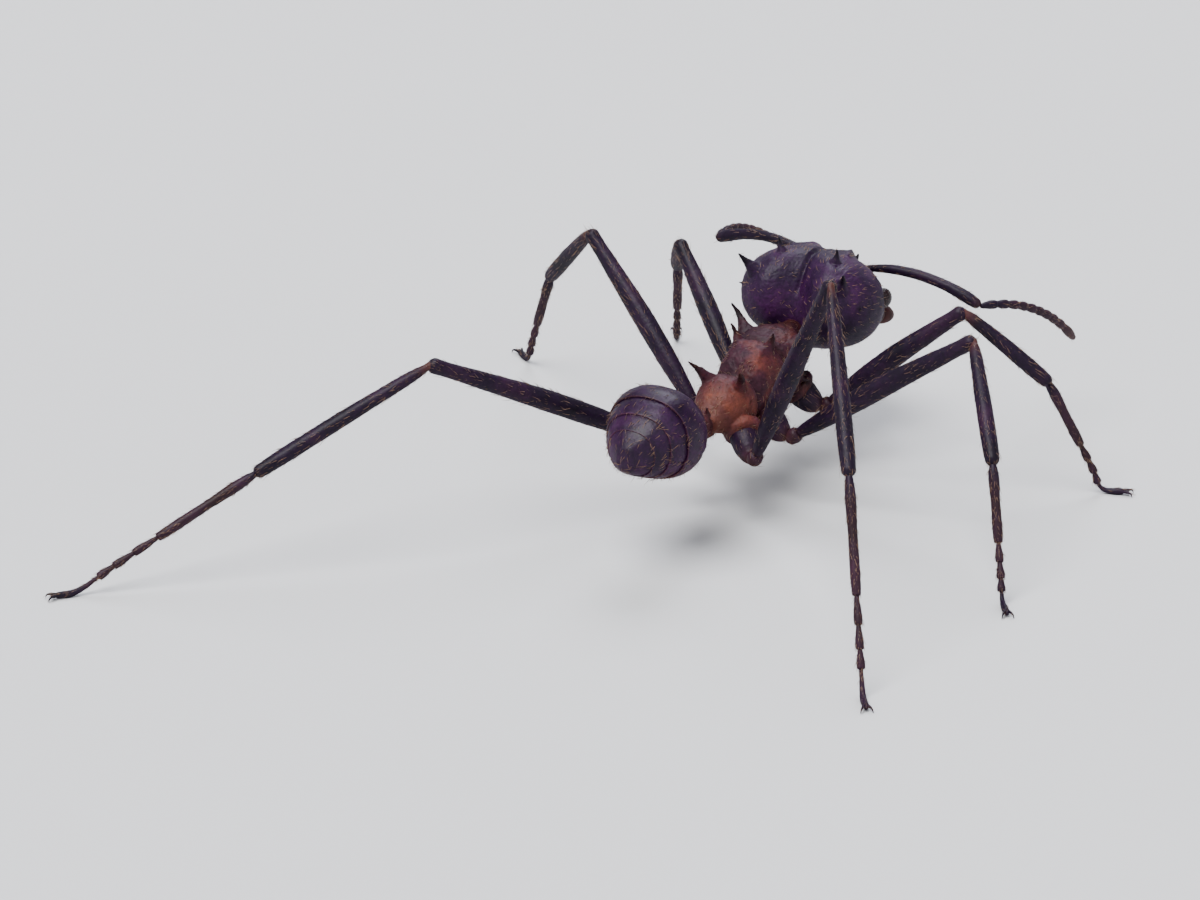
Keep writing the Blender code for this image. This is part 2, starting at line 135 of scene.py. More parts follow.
# Legs. Each pair: hip on the thorax, end of the coxa, and the lengths of femur, tibia and tarsus.
LEG_PAIRS = {
    "front": ((0.42, -0.98, 1.95), (0.92, -1.28, 1.38), 3.65, 2.25, 2.8),
    "mid": ((0.38, 0.22, 1.8), (0.97, 0.22, 1.3), 4.6, 2.85, 3.00),
    "hind": ((0.38, 1.12, 1.85), (0.97, 1.68, 1.36), 5.5, 4.00, 4.5),
}
# Each leg: how far back its femur points from straight out, how steeply it rises, both in degrees,
# and how far out and back its foot stands.
STANCE = {
    ("left", "front"): (-35.5, 36.0, 5.1, -6.05),
    ("left", "mid"): (-20.0, 40.0, 7.4, -3.4),
    ("left", "hind"): (50.5, 26.0, 9.03, 11.43),
    ("right", "front"): (-20.0, 39.5, 6.75, -3.3),
    ("right", "mid"): (-11.0, 35.0, 7.2, 2.9),
    ("right", "hind"): (30.0, 60.0, 6.75, 7.85),
}
TOE_HEIGHT = 0.19
TOE_LENGTH = 0.45
TOE_RISE = 0.06
# How high the middle of the foot's line lies over the floor, at the toe's root and at its tip.
TOE_LINE_HEIGHTS = (0.105, 0.072)
SOLE_HEIGHT = 0.17

# -------- fine measures of the looks

HEAD_GRID = 120
HEAD_STREAKS = (1, 0.22, 1)
HEAD_VOXEL = 0.018
THORAX_VOXEL = 0.018
WAIST_VOXEL = 0.013
SMOOTH_ROUNDS = 3
EYE_BULGE = 0.05
LIMB_SIDES = 22
LIMB_STEP = 0.02
CAP_TURNS = np.radians((10, 28, 48, 70))
LUMP_SIZE = 0.16
WRINKLE_DEPTH = 0.0045
WRINKLE_LENGTH = 0.036
WRINKLE_SPREAD = 1.3
BODY_SIDES = 110
WAIST_SIDES = 72
GASTER_SIDES = 132
GASTER_TUCK = 0.13
GASTER_STEP = 0.022
JAW_SIDES = 72
JAW_FURROW_TURN = 38
JAW_FURROW_DEPTH = 0.011

# Limb outlines, as rows of (share of the length, radius).
COXA = ((0, 0.24), (0.35, 0.3), (0.7, 0.25), (0.9, 0.18), (1, 0.17))
TROCHANTER = ((0, 0.12), (0.4, 0.155), (0.85, 0.15), (1, 0.125))
FEMUR = ((0, 0.1), (0.05, 0.13), (0.2, 0.18), (0.45, 0.205), (0.75, 0.17), (0.93, 0.145), (1, 0.155))
TIBIA = ((0, 0.11), (0.03, 0.08), (0.08, 0.105), (0.3, 0.14), (0.65, 0.162), (0.93, 0.15), (1, 0.135))
BASITARSUS = ((0, 0.06), (0.06, 0.084), (0.5, 0.092), (0.94, 0.092), (1, 0.084))
TARSAL_BEAD = ((0, 0.04), (0.25, 0.056), (0.8, 0.084), (1, 0.078))
LAST_TARSAL = ((0, 0.036), (0.3, 0.048), (0.85, 0.068), (1, 0.058))
SCAPE = ((0, 0.045), (0.06, 0.06), (0.2, 0.085), (0.7, 0.11), (0.93, 0.12), (1, 0.1))
PEDICEL = ((0, 0.045), (0.3, 0.07), (0.8, 0.092), (1, 0.085))
FLAGELLAR_BEAD = ((0, 0.052), (0.3, 0.078), (0.75, 0.096), (1, 0.09))
LAST_FLAGELLAR = ((0, 0.055), (0.3, 0.09), (0.65, 0.092), (1, 0.05))
PALP_BEAD = ((0, 0.028), (0.7, 0.045), (1, 0.03))
CLAW = ((0, 0.036), (0.4, 0.028), (0.8, 0.014), (1, 0.005))
# A claw's line from the end of the foot, as rows of (how far ahead, aside and up).
CLAW_LINE = ((-0.06, 0.02, 0), (0.05, 0.06, 0.02), (0.14, 0.1, 0.004), (0.17, 0.12, -0.064))
# A spine's outline, as rows of (share of the length, share of the radius at its foot).
SPINE = ((0, 1.8), (0.25, 1.15), (0.5, 0.62), (0.8, 0.3))
SPINE_TIP = 0.02
SPINE_BEND = np.array((0, 0.12, 0.05))
# Where the jointed parts divide, as shares of their lengths.
TARSAL_JOINTS = (0.0, 0.5, 0.62, 0.72, 0.8, 1.0)
FUNICULUS_JOINTS = (0.0, 0.115, 0.2, 0.28, 0.36, 0.44, 0.52, 0.605, 0.695, 0.79, 1.0)
PALP_JOINTS = (0.0, 0.34, 0.62, 1.0)

# Detail of the head's left half, which the right half mirrors, in the head's own frame. Rows are
# (amount, width, spot) or (amount, width, from, to). The crown's are laid on from above.
SOCKET_PIT = (0.51, -0.81, 0.64)
SHIELD_EDGE_AT = -0.72
CROWN_RELIEF = (
    (-0.075, 0.06, (0, 1.0, 0), (0, -0.15, 0)),
    (0.055, 0.05, (0.27, -0.86, 0), (0.62, 0.12, 0)),
    (-0.045, 0.12, (0, -0.8, 0), (0, -0.45, 0)),
)
FACE_RELIEF = (
    # Antenna socket and the ridge beside it.
    (-0.085, 0.12, SOCKET_PIT),
    (0.045, 0.05, (0.72, -0.86, 0.5), (0.98, -0.3, 0.66)),
    # Front margin of the shield over the mouth, with two teeth and a notch between.
    (0.03, 0.04, (0.12, -1.31, 0.06), (0.52, -1.2, 0.05)),
    (0.035, 0.045, (0.15, -1.32, 0.04)),
    (-0.03, 0.07, (0, -1.32, 0.05)),
    # Mouth, jaw socket and cheek ridge.
    (-0.28, 0.19, (0, -1.26, -0.24), (0.62, -1.05, -0.24)),
    (-0.05, 0.26, (0.84, -0.98, -0.16)),
    (0.04, 0.045, (1.17, -0.66, 0.34), (0.86, -1.00, 0.24)),
    # Throat.
    (-0.035, 0.05, (0, -0.75, -0.66), (0, 0.75, -0.92)),
    (0.035, 0.055, (0.44, -0.98, -0.5), (0.2, -0.15, -0.96)),
)
# Tones: towards 1 a shell is darker, at its worn tips and where shade is painted into its hollows,
# towards -1 it is as pale as at its joints.
HEAD_TONES = (
    # The first two rows are painted shade: in the antenna socket's pit, and in the mouth and the jaw
    # sockets.
    (0.35, 0.12, (0.5, -0.8, 0.64)),
    (0.9, 0.24, (0, -1.1, -0.2), (0.66, -0.98, -0.2)),
    (0.35, 0.07, (0, -1.29, 0.12), (0.5, -1.18, 0.1)),
    (-0.15, 0.13, (0, -1.2, 0.34), (0.45, -1.15, 0.28)),
)
THORAX_TONES = (
    (-0.55, 0.42, (0, 1.75, 2.0), (0, 1.3, 2.2)),
    (0.4, 0.35, (0, -1.9, 2.7), (0, -1.5, 2.8)),
)

# Where a hair's rings lie, as shares of its length, and their widths as shares of its own.
HAIR_STATIONS = np.array((0.0, 0.3, 0.62, 0.86, 1.0))
HAIR_WIDTHS = np.array((1.0, 0.82, 0.56, 0.3, 0.06))
HAIR_SIDES = 3
HAIR_DEPTH = 0.012
HAIR_STRAYING = 0.25
HAIR_RISE_SPREAD = 9
HAIR_PATCH = 0.003
# Layers of hair, each with a row of (how many on a square millimetre, length, width, rise in degrees)
# for each shape that it grows on.
HEAD_HAIR = [[(26, 0.11, 0.013, 40)], [(55, 0.07, 0.007, 14)]]
THORAX_HAIR = [[(30, 0.15, 0.013, 55), (34, 0.14, 0.012, 50), (34, 0.14, 0.012, 50)]]
GASTER_HAIR = [[(30, 0.16, 0.013, 32)] * 4, [(90, 0.08, 0.007, 12)] * 4]
LEG_HAIR = [
    [(22, 0.14, 0.012, 40), (26, 0.17, 0.012, 32), (34, 0.15, 0.012, 30), (80, 0.11, 0.012, 34)],
    [(number, 0.085, 0.008, 12) for number in (60, 110, 190, 260)],
]
FEELER_HAIR = [[(60, 0.12, 0.011, 34), (150, 0.075, 0.011, 34)]]

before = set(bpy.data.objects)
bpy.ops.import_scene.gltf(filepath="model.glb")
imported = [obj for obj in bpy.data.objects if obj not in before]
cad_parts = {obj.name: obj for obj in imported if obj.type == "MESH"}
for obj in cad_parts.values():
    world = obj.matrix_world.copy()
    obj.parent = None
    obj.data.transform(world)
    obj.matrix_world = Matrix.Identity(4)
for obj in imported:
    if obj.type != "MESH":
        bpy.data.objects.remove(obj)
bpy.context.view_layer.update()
# What a point loses when it moves from the ant's own frame to the solids' place. The tail's first
# solid begins half a gap behind the waist's last.
GASTER_LOW, GASTER_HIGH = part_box("gaster_1")
MIDDLE = (GASTER_LOW.x + GASTER_HIGH.x) / 2 / MM
SHIFT = np.array((-MIDDLE, GASTER[0][0] + GAP / 2 - GASTER_LOW.y / MM, 0))


# -------- shapes


def signed_power(value, power):
    return np.sign(value) * np.abs(value) ** power


def unit(vectors):
    return vectors / np.linalg.norm(vectors, axis=-1, keepdims=True)


def lengths(vectors):
    return np.linalg.norm(vectors, axis=1)


def turns(sides):
    """Angles all the way round, as many as there are sides."""
    return np.linspace(0, math.tau, sides, endpoint=False)


def step(value, width):
    """0 well below nothing, 1 well above it, smooth over about width."""
    return 0.5 + 0.5 * np.tanh(value / width)


def hill(distance, width):
    """1 at no distance, falling off smoothly over about width."""
    return np.exp(-((distance / width) ** 2))


def near(points, width, spot, end=None):
    """1 at a spot, or all along the straight line from it to end, falling off over about width."""
    away = points - np.array(spot, float)
    if end is not None:
        span = np.array(end, float) - spot
        away = away - np.clip(away @ span / (span @ span), 0, 1)[:, None] * span
    return hill(lengths(away), width)


def added(points, rows):
    """The sum at each point of rows of (amount, width, spot) or (amount, width, from, to)."""
    return sum(amount * near(points, width, *places) for amount, width, *places in rows)


def folded(points):
    """The points with their right half laid onto the left."""
    return np.abs(points * (1, 0, 0)) + points * (0, 1, 1)


def on_side(side, points):
    """Points given for the left side, on that side or mirrored."""
    return np.array(points, float) * ((1, 1, 1) if side == "left" else (-1, 1, 1))


def ripple(points, size, octaves=3):
    """Smooth noise from about -1 to 1, with lumps of the given size."""
    return np.array([noise.fractal(Vector(point / size), 1.0, 2.0, octaves) for point in points])


def smooth_rows(rows, at):
    """The rows' values at the places `at` on a smooth curve through them; a row starts with its place."""
    rows = np.array(rows, float)
    places, values = rows[:, 0], rows[:, 1:]
    slopes = np.gradient(values, places, axis=0, edge_order=1)
    k = np.clip(np.searchsorted(places, at, side="right") - 1, 0, len(rows) - 2)
    span = (places[k + 1] - places[k])[:, None]
    t = (np.clip(at, places[0], places[-1])[:, None] - places[k][:, None]) / span
    return (
        (2 * t**3 - 3 * t**2 + 1) * values[k]
        + (t**3 - 2 * t**2 + t) * span * slopes[k]
        + (3 * t**2 - 2 * t**3) * values[k + 1]
        + (t**3 - t**2) * span * slopes[k + 1]
    )


def joined(shapes):
    """Several shapes as one."""
    points, faces, start = [], [], 0
    for shape_points, shape_faces in shapes:
        points.append(shape_points)
        faces += [tuple(start + i for i in face) for face in shape_faces]
        start += len(shape_points)
    return np.concatenate(points), faces


def skin_over(rings):
    """A closed shape through rings of points, with a fan over its first and last ring."""
    count, sides = rings.shape[:2]
    points = np.concatenate([rings.reshape(-1, 3), rings[[0, -1]].mean(axis=1)])
    faces = []
    last, hub = (count - 1) * sides, count * sides
    for j in range(sides):
        k = (j + 1) % sides
        for start in range(0, last, sides):
            faces.append((start + j, start + k, start + sides + k, start + sides + j))
        faces += [(hub, k, j), (hub + 1, last + j, last + k)]
    return points, faces


def bands(count, sides):
    """Faces between rings of points, whose ends stay open."""
    return [
        (low + j, low + (j + 1) % sides, low + sides + (j + 1) % sides, low + sides + j)
        for low in range(0, (count - 1) * sides, sides)
        for j in range(sides)
    ]


def smooth_line(points):
    """Closely spaced points on a smooth curve through points."""
    points = np.array(points, float)
    ends = 2 * points[[0, -1]] - points[[1, -2]]
    held = np.concatenate([ends[:1], points, ends[1:]])
    line = []
    for a, b, c, d in zip(held, held[1:], held[2:], held[3:]):
        for t in np.linspace(0, 1, 24, endpoint=False):
            bend = (2 * a - 5 * b + 4 * c - d) * t**2 + (3 * b - a - 3 * c + d) * t**3
            line.append(0.5 * (2 * b + (c - a) * t + bend))
    return np.array([*line, points[-1]])


def bow(start, pull, end):
    """A line on the curve from start to end that leans towards pull."""
    t = np.linspace(0, 1, 60)[:, None]
    return (1 - t) ** 2 * np.array(start) + 2 * t * (1 - t) * np.array(pull) + t**2 * np.array(end)


def distances(line):
    return np.concatenate([[0], np.cumsum(lengths(np.diff(line, axis=0)))])


def walk(line, places):
    """Points on a line at distances from its start."""
    gone = distances(line)
    return np.stack([np.interp(places, gone, line[:, axis]) for axis in range(3)], axis=1)


def stretch(line, start, end):
    """The part of a line between two shares of its length."""
    length = distances(line)[-1]
    return walk(line, np.linspace(start * length, end * length, 40))


def directions(centres):
    """Along, side and over at each point of a line, without twist, over being upward at first."""
    along = unit(np.gradient(centres, axis=0))
    side = np.cross(along[0], (0, 0, 1))
    if np.linalg.norm(side) < 0.1:
        side = np.array((1.0, 0, 0))
    sides = []
    for direction in along:
        side = unit(side - direction * (side @ direction))
        sides.append(side)
    return along, np.array(sides), np.cross(sides, along)


def wrinkles(places, angles):
    """Fine wrinkles that run round a limb, from about -1 to 1, at places along it and angles round it."""
    ways = WRINKLE_SPREAD * np.stack([np.cos(angles), np.sin(angles)], axis=1)
    rows = places / WRINKLE_LENGTH
    return np.array([[noise.noise(Vector((*way, row))) for way in ways] for row in rows])


def swept(line, outline, caps=(0.1, 0.1), flat=1.0, sides=LIMB_SIDES, step=LIMB_STEP, rough=0.0):
    """A limb along a line. caps are how far its round ends reach in, rough is its lumps' height."""
    length = distances(line)[-1]
    rise, width = 1 - np.cos(CAP_TURNS), np.sin(CAP_TURNS)
    rows = max(3, round((length - sum(caps)) / step))
    middle = np.linspace(caps[0], length - caps[1], rows)
    places = np.concatenate([caps[0] * rise, middle, length - caps[1] * rise[::-1]])
    rounding = np.concatenate([width, np.ones(rows), width[::-1]])
    centres = walk(line, places)
    radii = smooth_rows(outline, places / length)[:, 0] * rounding
    _, side, over = directions(centres)
    angles = turns(sides)[None, :, None]
    outward = np.cos(angles) * side[:, None] + flat * np.sin(angles) * over[:, None]
    rings = centres[:, None] + radii[:, None, None] * outward
    if rough:
        lumps = rough * ripple(rings.reshape(-1, 3), LUMP_SIZE).reshape(len(places), sides)
        lumps += WRINKLE_DEPTH * wrinkles(places, angles.ravel())
        rings = rings + outward * (lumps * rounding[:, None])[..., None]
    return skin_over(rings)


def pair(line, outline, caps, **settings):
    """A limb along a line on the left, and one on the right that mirrors it."""
    return [swept(on_side(side, line), outline, caps, **settings) for side in BOTH_SIDES]


def spine_shapes(spines):
    """Both of each pair of spines: a wide foot, a slight bow backwards and a sharp tip."""
    shapes = []
    for foot, direction, length, radius in spines:
        ahead = unit(np.array(direction, float))
        bend = SPINE_BEND * length
        middle, tip = foot + ahead * length * 0.55 - bend * 0.4, foot + ahead * length + bend
        line = smooth_line([foot - ahead * radius * 1.3, foot, middle, tip])
        outline = [*((share, radius * wide) for share, wide in SPINE), (1, SPINE_TIP)]
        shapes += pair(line, outline, (0.05, 0.02), sides=16, step=0.025)
    return shapes


def body_rings(outline, places, sides=BODY_SIDES):
    """Cross-sections of the body at places along Y, with each point's height from -1 to 1."""
    bottom, top, half_width = smooth_rows(outline, places).T
    angles = turns(sides)
    across = signed_power(np.cos(angles), SECTION_POWER)
    height = signed_power(np.sin(angles), SECTION_POWER)
    rings = np.empty((len(places), sides, 3))
    rings[..., 0] = half_width[:, None] * across
    rings[..., 1] = places[:, None]
    rings[..., 2] = ((bottom + top) / 2)[:, None] + ((top - bottom) / 2)[:, None] * height
    return rings, height


def scaled_rings(rings, scale):
    """Rings drawn in or out about their middles."""
    middles = rings.mean(axis=1, keepdims=True)
    return middles + (rings - middles) * scale


def swollen_rings(rings, offset):
    """Rings with each point moved away from its ring's middle."""
    return rings + unit(rings - rings.mean(axis=1, keepdims=True)) * offset[..., None]


def jointed(line, joints, outlines, overlap, caps, **settings):
    """Beads along a line, between shares of its length, each reaching a little into the one before."""
    return [
        swept(stretch(line, max(0, start - overlap), end), outline, caps, **settings)
        for start, end, outline in zip(joints, joints[1:], outlines)
    ]


def add_object(name, data):
    thing = bpy.data.objects.new(name, data)
    bpy.context.collection.objects.link(thing)
    return thing


def mesh_from(name, shape):
    points, faces = shape
    mesh = bpy.data.meshes.new(name)
    mesh.from_pydata(points.tolist(), [], faces)
    work = bmesh.new()
    work.from_mesh(mesh)
    bmesh.ops.recalc_face_normals(work, faces=work.faces)
    work.to_mesh(mesh)
    work.free()
    mesh.shade_smooth()
    return mesh


def shape_of(mesh):
    points = np.empty(len(mesh.vertices) * 3)
    mesh.vertices.foreach_get("co", points)
    return points.reshape(-1, 3), [tuple(face.vertices) for face in mesh.polygons]


def fused(shapes, voxel):
    """One closed skin over shapes that overlap, smoothed a little."""
    thing = add_object("fused", mesh_from("fused", joined(shapes)))
    skin = thing.modifiers.new("Skin", "REMESH")
    skin.mode = "VOXEL"
    skin.voxel_size = voxel
    ease = thing.modifiers.new("Ease", "SMOOTH")
    ease.factor = 0.5
    ease.iterations = SMOOTH_ROUNDS
    bpy.context.view_layer.update()
    mesh = bpy.data.meshes.new_from_object(thing.evaluated_get(bpy.context.evaluated_depsgraph_get()))
    shape = shape_of(mesh)
    before = thing.data
    bpy.data.objects.remove(thing)
    bpy.data.meshes.remove(before)
    bpy.data.meshes.remove(mesh)
    return shape


def weathered(shape, coarse, fine, drawn=(1, 1, 1)):
    """The shape with coarse and fine lumps on it, each as (height, size). Along an axis where drawn is
    below 1, the fine ones are longer."""
    mesh = mesh_from("work", shape)
    points, faces = shape_of(mesh)
    normals = np.empty(len(points) * 3)
    mesh.vertices.foreach_get("normal", normals)
    bpy.data.meshes.remove(mesh)
    lumps = coarse[0] * ripple(points, coarse[1]) + fine[0] * ripple(points * drawn, fine[1], 2)
    return points + normals.reshape(-1, 3) * lumps[:, None], faces


def to_ant(points):
    """Points in the head's own frame, in the ant's frame."""
    c, s = math.cos(HEAD_PITCH), math.sin(HEAD_PITCH)
    x, y, z = np.moveaxis(np.array(points, float), -1, 0)
    return np.stack([x, c * y - s * z, s * y + c * z], axis=-1) + HEAD_AT


def placed_on_head(shape):
    return to_ant(shape[0]), shape[1]


# -------- materials


class Shell:
    """A material's node tree, with short ways to add to it. Sizes are in millimetres."""

    def __init__(self, name):
        self.material = bpy.data.materials.new(name)
        self.material.use_nodes = True
        self.tree = self.material.node_tree
        self.place = self.add("TexCoord").outputs["Object"]

    def add(self, kind, values=None, **settings):
        """A node of a kind; values go to its inputs, settings are its own."""
        node = self.tree.nodes.new(f"ShaderNode{kind}")
        for name, value in settings.items():
            setattr(node, name, value)
        return self.fill(node, values or {})

    def fill(self, node, values):
        """Sets a node's inputs, and links those whose value is another node's output."""
        for name, value in values.items():
            if isinstance(value, bpy.types.NodeSocket):
                self.tree.links.new(value, node.inputs[name])
            else:
                node.inputs[name].default_value = value
        return node

    def drawn_out(self, reach):
        """Places that make a texture reach times longer along the body than across it."""
        return self.add("Mapping", {"Scale": (1, 1 / reach, 1), "Vector": self.place}).outputs["Vector"]

    def noise(self, size, detail=3.0, roughness=0.55, distortion=0.0, place=None):
        values = {"Scale": 1 / (size * MM), "Detail": detail, "Roughness": roughness}
        values |= {"Distortion": distortion, "Vector": place or self.place}
        return self.add("TexNoise", values).outputs["Fac"]

    def cells(self, size, feature="F1"):
        values = {"Scale": 1 / (size * MM), "Vector": self.place}
        return self.add("TexVoronoi", values, feature=feature).outputs["Distance"]

    def tone(self):
        return self.add("Attribute", attribute_name="tone").outputs["Fac"]

    def ranged(self, value, low, high, to_low, to_high):
        values = {"Value": value, "From Min": low, "From Max": high, "To Min": to_low, "To Max": to_high}
        return self.add("MapRange", values).outputs["Result"]

    def worn(self, size, low, high, detail=3.0):
        """Roughness that varies in patches."""
        return self.ranged(self.noise(size, detail), 0.3, 0.7, low, high)

    def ramp(self, value, *stops):
        node = self.add("ValToRGB", {"Fac": value})
        while len(node.color_ramp.elements) < len(stops):
            node.color_ramp.elements.new(0.5)
        for element, (place, colour) in zip(node.color_ramp.elements, stops):
            element.position = place
            element.color = (*colour, 1)
        return node.outputs["Color"]

    def mixed(self, factor, first, second, blend="MIX"):
        """Two colours mixed. The Mix node's factor and colours are its inputs 0, 6 and 7."""
        colours = [(*value, 1) if isinstance(value, tuple) else value for value in (first, second)]
        values = dict(zip((0, 6, 7), (factor, *colours)))
        return self.add("Mix", values, data_type="RGBA", blend_type=blend).outputs[2]

    def bump(self, height, depth, strength=1.0, over=None):
        """Relief of the given depth in millimetres, laid over an earlier one."""
        values = {"Height": height, "Distance": depth * MM, "Strength": strength}
        if over:
            values["Normal"] = over
        return self.add("Bump", values).outputs["Normal"]

    def finish(self, colour, roughness, normal=None, coat=0.0, coat_roughness=0.2):
        """The material. Where it has a coat, only that is glossy: its weight then limits how much of
        the floor a surface mirrors at a glancing view."""
        values = {"Base Color": colour, "Roughness": roughness, "Coat Roughness": coat_roughness}
        values |= {"Coat Weight": coat, "Specular IOR Level": 0.0 if coat else 0.2}
        if normal:
            values |= {"Normal": normal, "Coat Normal": normal}
        self.fill(self.tree.nodes["Principled BSDF"], values)
        return self.material


def chitin(name, deep, body, bright, joint, roughness, coat, grain, pits, streaks):
    """Insect shell: clouded colour, darker worn tips and painted shade in hollows, paler joints, a fine
    net of raised lines.
    """
    shell = Shell(name)
    clouds = shell.noise(0.9, 5, 0.6, 0.4)
    colour = shell.ramp(clouds, (0.3, deep), (0.5, body), (0.72, bright))
    flecks = shell.ranged(shell.noise(0.05, 2), 0.35, 0.7, 0.72, 1.22)
    colour = shell.mixed(1.0, colour, flecks, "MULTIPLY")
    tone = shell.tone()
    colour = shell.mixed(shell.ranged(tone, 0, -1, 0, 1), colour, joint)
    dark = tuple(0.3 * value for value in deep)
    colour = shell.mixed(shell.ranged(tone, 0, 1, 0, 0.9), colour, dark)
    worn = shell.ranged(shell.noise(0.35, 4), 0.3, 0.75, roughness - 0.07, roughness + 0.12)
    net = shell.ranged(shell.cells(0.055, "DISTANCE_TO_EDGE"), 0, 0.25, 0, 1)
    relief = shell.bump(net, 0.0035, grain)
    relief = shell.bump(shell.noise(0.14, 3, 0.6), 0.014, grain, relief)
    relief = shell.bump(shell.noise(0.045, 3, 0.6, place=shell.drawn_out(7)), 0.02, streaks, relief)
    relief = shell.bump(shell.ranged(shell.cells(0.17), 0, 0.22, 0, 1), 0.01, pits, relief)
    return shell.finish(colour, worn, relief, coat, roughness)


def eye_material():
    """Near black, each facet a little browner at its middle."""
    eye = Shell("ant_eye")
    clouds = eye.ramp(eye.noise(0.15), (0.3, (0.03, 0.012, 0.012)), (0.7, (0.016, 0.007, 0.009)))
    colour = eye.mixed(eye.ranged(eye.tone(), 0.3, 1, 0, 1), clouds, (0.003, 0.002, 0.003))
    return eye.finish(colour, eye.worn(0.12, 0.32, 0.42), coat=0.42, coat_roughness=0.26)


def jaw_material():
    jaw = Shell("ant_mandible")
    colour = jaw.ramp(
        jaw.noise(0.5, 4, 0.6, 0.6),
        (0.3, (0.018, 0.004, 0.005)),
        (0.55, (0.04, 0.009, 0.008)),
        (0.75, (0.075, 0.018, 0.01)),
    )
    colour = jaw.mixed(jaw.ranged(jaw.tone(), 0, 1, 0, 0.94), colour, (0.008, 0.003, 0.003))
    relief = jaw.bump(jaw.noise(0.045, 3, place=jaw.drawn_out(9)), 0.009, 0.5)
    return jaw.finish(colour, jaw.worn(0.2, 0.29, 0.43, 4), relief, coat=0.3, coat_roughness=0.36)


def bristle_material():
    bristle = Shell("ant_bristle")
    colours = (0.3, (0.085, 0.045, 0.03)), (0.7, (0.21, 0.125, 0.075))
    colour = bristle.ramp(bristle.noise(0.6, 3), *colours)
    return bristle.finish(colour, bristle.worn(0.3, 0.35, 0.5))


# Each shell's deep, middle and bright colour, its joints' colour, its roughness, its coat, and the
# strength of its grain, pits and streaks.
SHELLS = {
    "head": (
        (0.005, 0.0012, 0.009), (0.013, 0.002, 0.019), (0.034, 0.005, 0.038),
        (0.13, 0.035, 0.02), 0.43, 0.36, 0.27, 0.26, 0.5,
    ),
    "thorax": (
        (0.009, 0.0024, 0.009), (0.034, 0.006, 0.014), (0.115, 0.026, 0.016),
        (0.17, 0.055, 0.025), 0.5, 0.32, 0.62, 0.4, 0.35,
    ),
    "gaster": (
        (0.006, 0.0012, 0.009), (0.015, 0.0021, 0.02), (0.036, 0.0045, 0.037),
        (0.12, 0.04, 0.024), 0.38, 0.38, 0.26, 0.22, 0.2,
    ),
    "leg": (
        (0.003, 0.001, 0.005), (0.008, 0.002, 0.012), (0.021, 0.005, 0.02),
        (0.09, 0.03, 0.017), 0.45, 0.3, 0.34, 0.1, 0.3,
    ),
}
MATERIALS = {f"{part}_shell": chitin(f"ant_{part}", *looks) for part, looks in SHELLS.items()}
MATERIALS |= {"eye": eye_material(), "mandible": jaw_material()}
BRISTLES = bristle_material()


# -------- pieces


def make_piece(name, shape, slot, nodes=(), tone=None, material=None):
    """An object of a shape, in its place among the solids, which stands for the nodes."""
    points, faces = shape
    mesh = mesh_from(name, ((points - SHIFT) * MM, faces))
    if tone is not None:
        values = mesh.attributes.new("tone", "FLOAT", "POINT")
        values.data.foreach_set("value", np.clip(tone, -1, 1).astype(np.float32))
    mesh.materials.append(material or MATERIALS[slot])
    thing = add_object(name, mesh)
    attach(thing, "root")
    if nodes:
        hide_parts(*nodes)
    return thing


def shape_from(work):
    """The shape that a bmesh holds; frees it."""
    work.verts.index_update()
    points = np.array([vertex.co[:] for vertex in work.verts])
    faces = [tuple(vertex.index for vertex in face.verts) for face in work.faces]
    work.free()
    return points, faces


def ball_grid(steps):
    """Even directions over a ball, as a shape."""
    work = bmesh.new()
    bmesh.ops.create_cube(work, size=2)
    bmesh.ops.subdivide_edges(work, edges=work.edges, cuts=steps - 1, use_grid_fill=True)
    points, faces = shape_from(work)
    return unit(np.tan(points * math.pi / 4)), faces


def head_surface(direction):
    """Where the head's surface lies in each direction from its middle, as in the solid."""
    forward = np.maximum(0, -direction[:, 1])
    backward = np.maximum(0, direction[:, 1])
    x, y, z = (HEAD_HALF * signed_power(direction, HEAD_FULLNESS)).T
    x = x * (1 - MUZZLE_NARROWING * forward**1.5)
    z = z * (1 - MUZZLE_FLATTENING * forward**1.5)
    y = y - NAPE_NOTCH_DEPTH * backward * hill(x, NAPE_NOTCH_WIDTH)
    aside = (np.abs(x) - FRONTAL_LOBE_AT[0]) / FRONTAL_LOBE_SIZE[0]
    ahead = (y - FRONTAL_LOBE_AT[1]) / FRONTAL_LOBE_SIZE[1]
    lobe = FRONTAL_LOBE_RISE * np.exp(-(aside**2) - ahead**2)
    return np.stack([x, y, z + np.where(direction[:, 2] > 0, lobe, 0)], axis=1)


def shield(fold):
    """How far points are below the top of the shield over the mouth, and 1 where they are on the face."""
    top = 0.12 + 0.24 * hill(fold[:, 0], 0.44) + 0.2 * hill(fold[:, 0], 0.12)
    on_face = step(SHIELD_EDGE_AT - fold[:, 1], 0.06) * step(fold[:, 2] - 0.02, 0.03)
    return top - fold[:, 2], on_face


def head_relief(points):
    """How far the head's detail stands out from or sinks into its plain form."""
    fold = folded(points)
    relief = added(fold * (1, 1, 0), CROWN_RELIEF) * np.clip(points[:, 2] / 0.25, 0, 1)
    relief += added(fold, FACE_RELIEF)
    below, on_face = shield(fold)
    relief += on_face * (0.026 * step(below, 0.018) - 0.045 * hill(below, 0.026))
    relief += 0.03 * hill(lengths(fold - SOCKET_PIT) - 0.165, 0.035)
    from_eye = lengths((fold - EYE_AT) / EYE_HALF)
    return relief - 0.022 * hill(from_eye - 1.14, 0.1) + 0.01 * hill(from_eye - 1.45, 0.16)


def spine_tips(spines, amount, start, width):
    """Rows for added, along the spines from a share of their length to the tip."""
    rows = []
    for foot, direction, length, radius in spines:
        reach = unit(np.array(direction)) * length
        rows.append((amount, radius * width, foot + start * reach, foot + reach))
    return rows


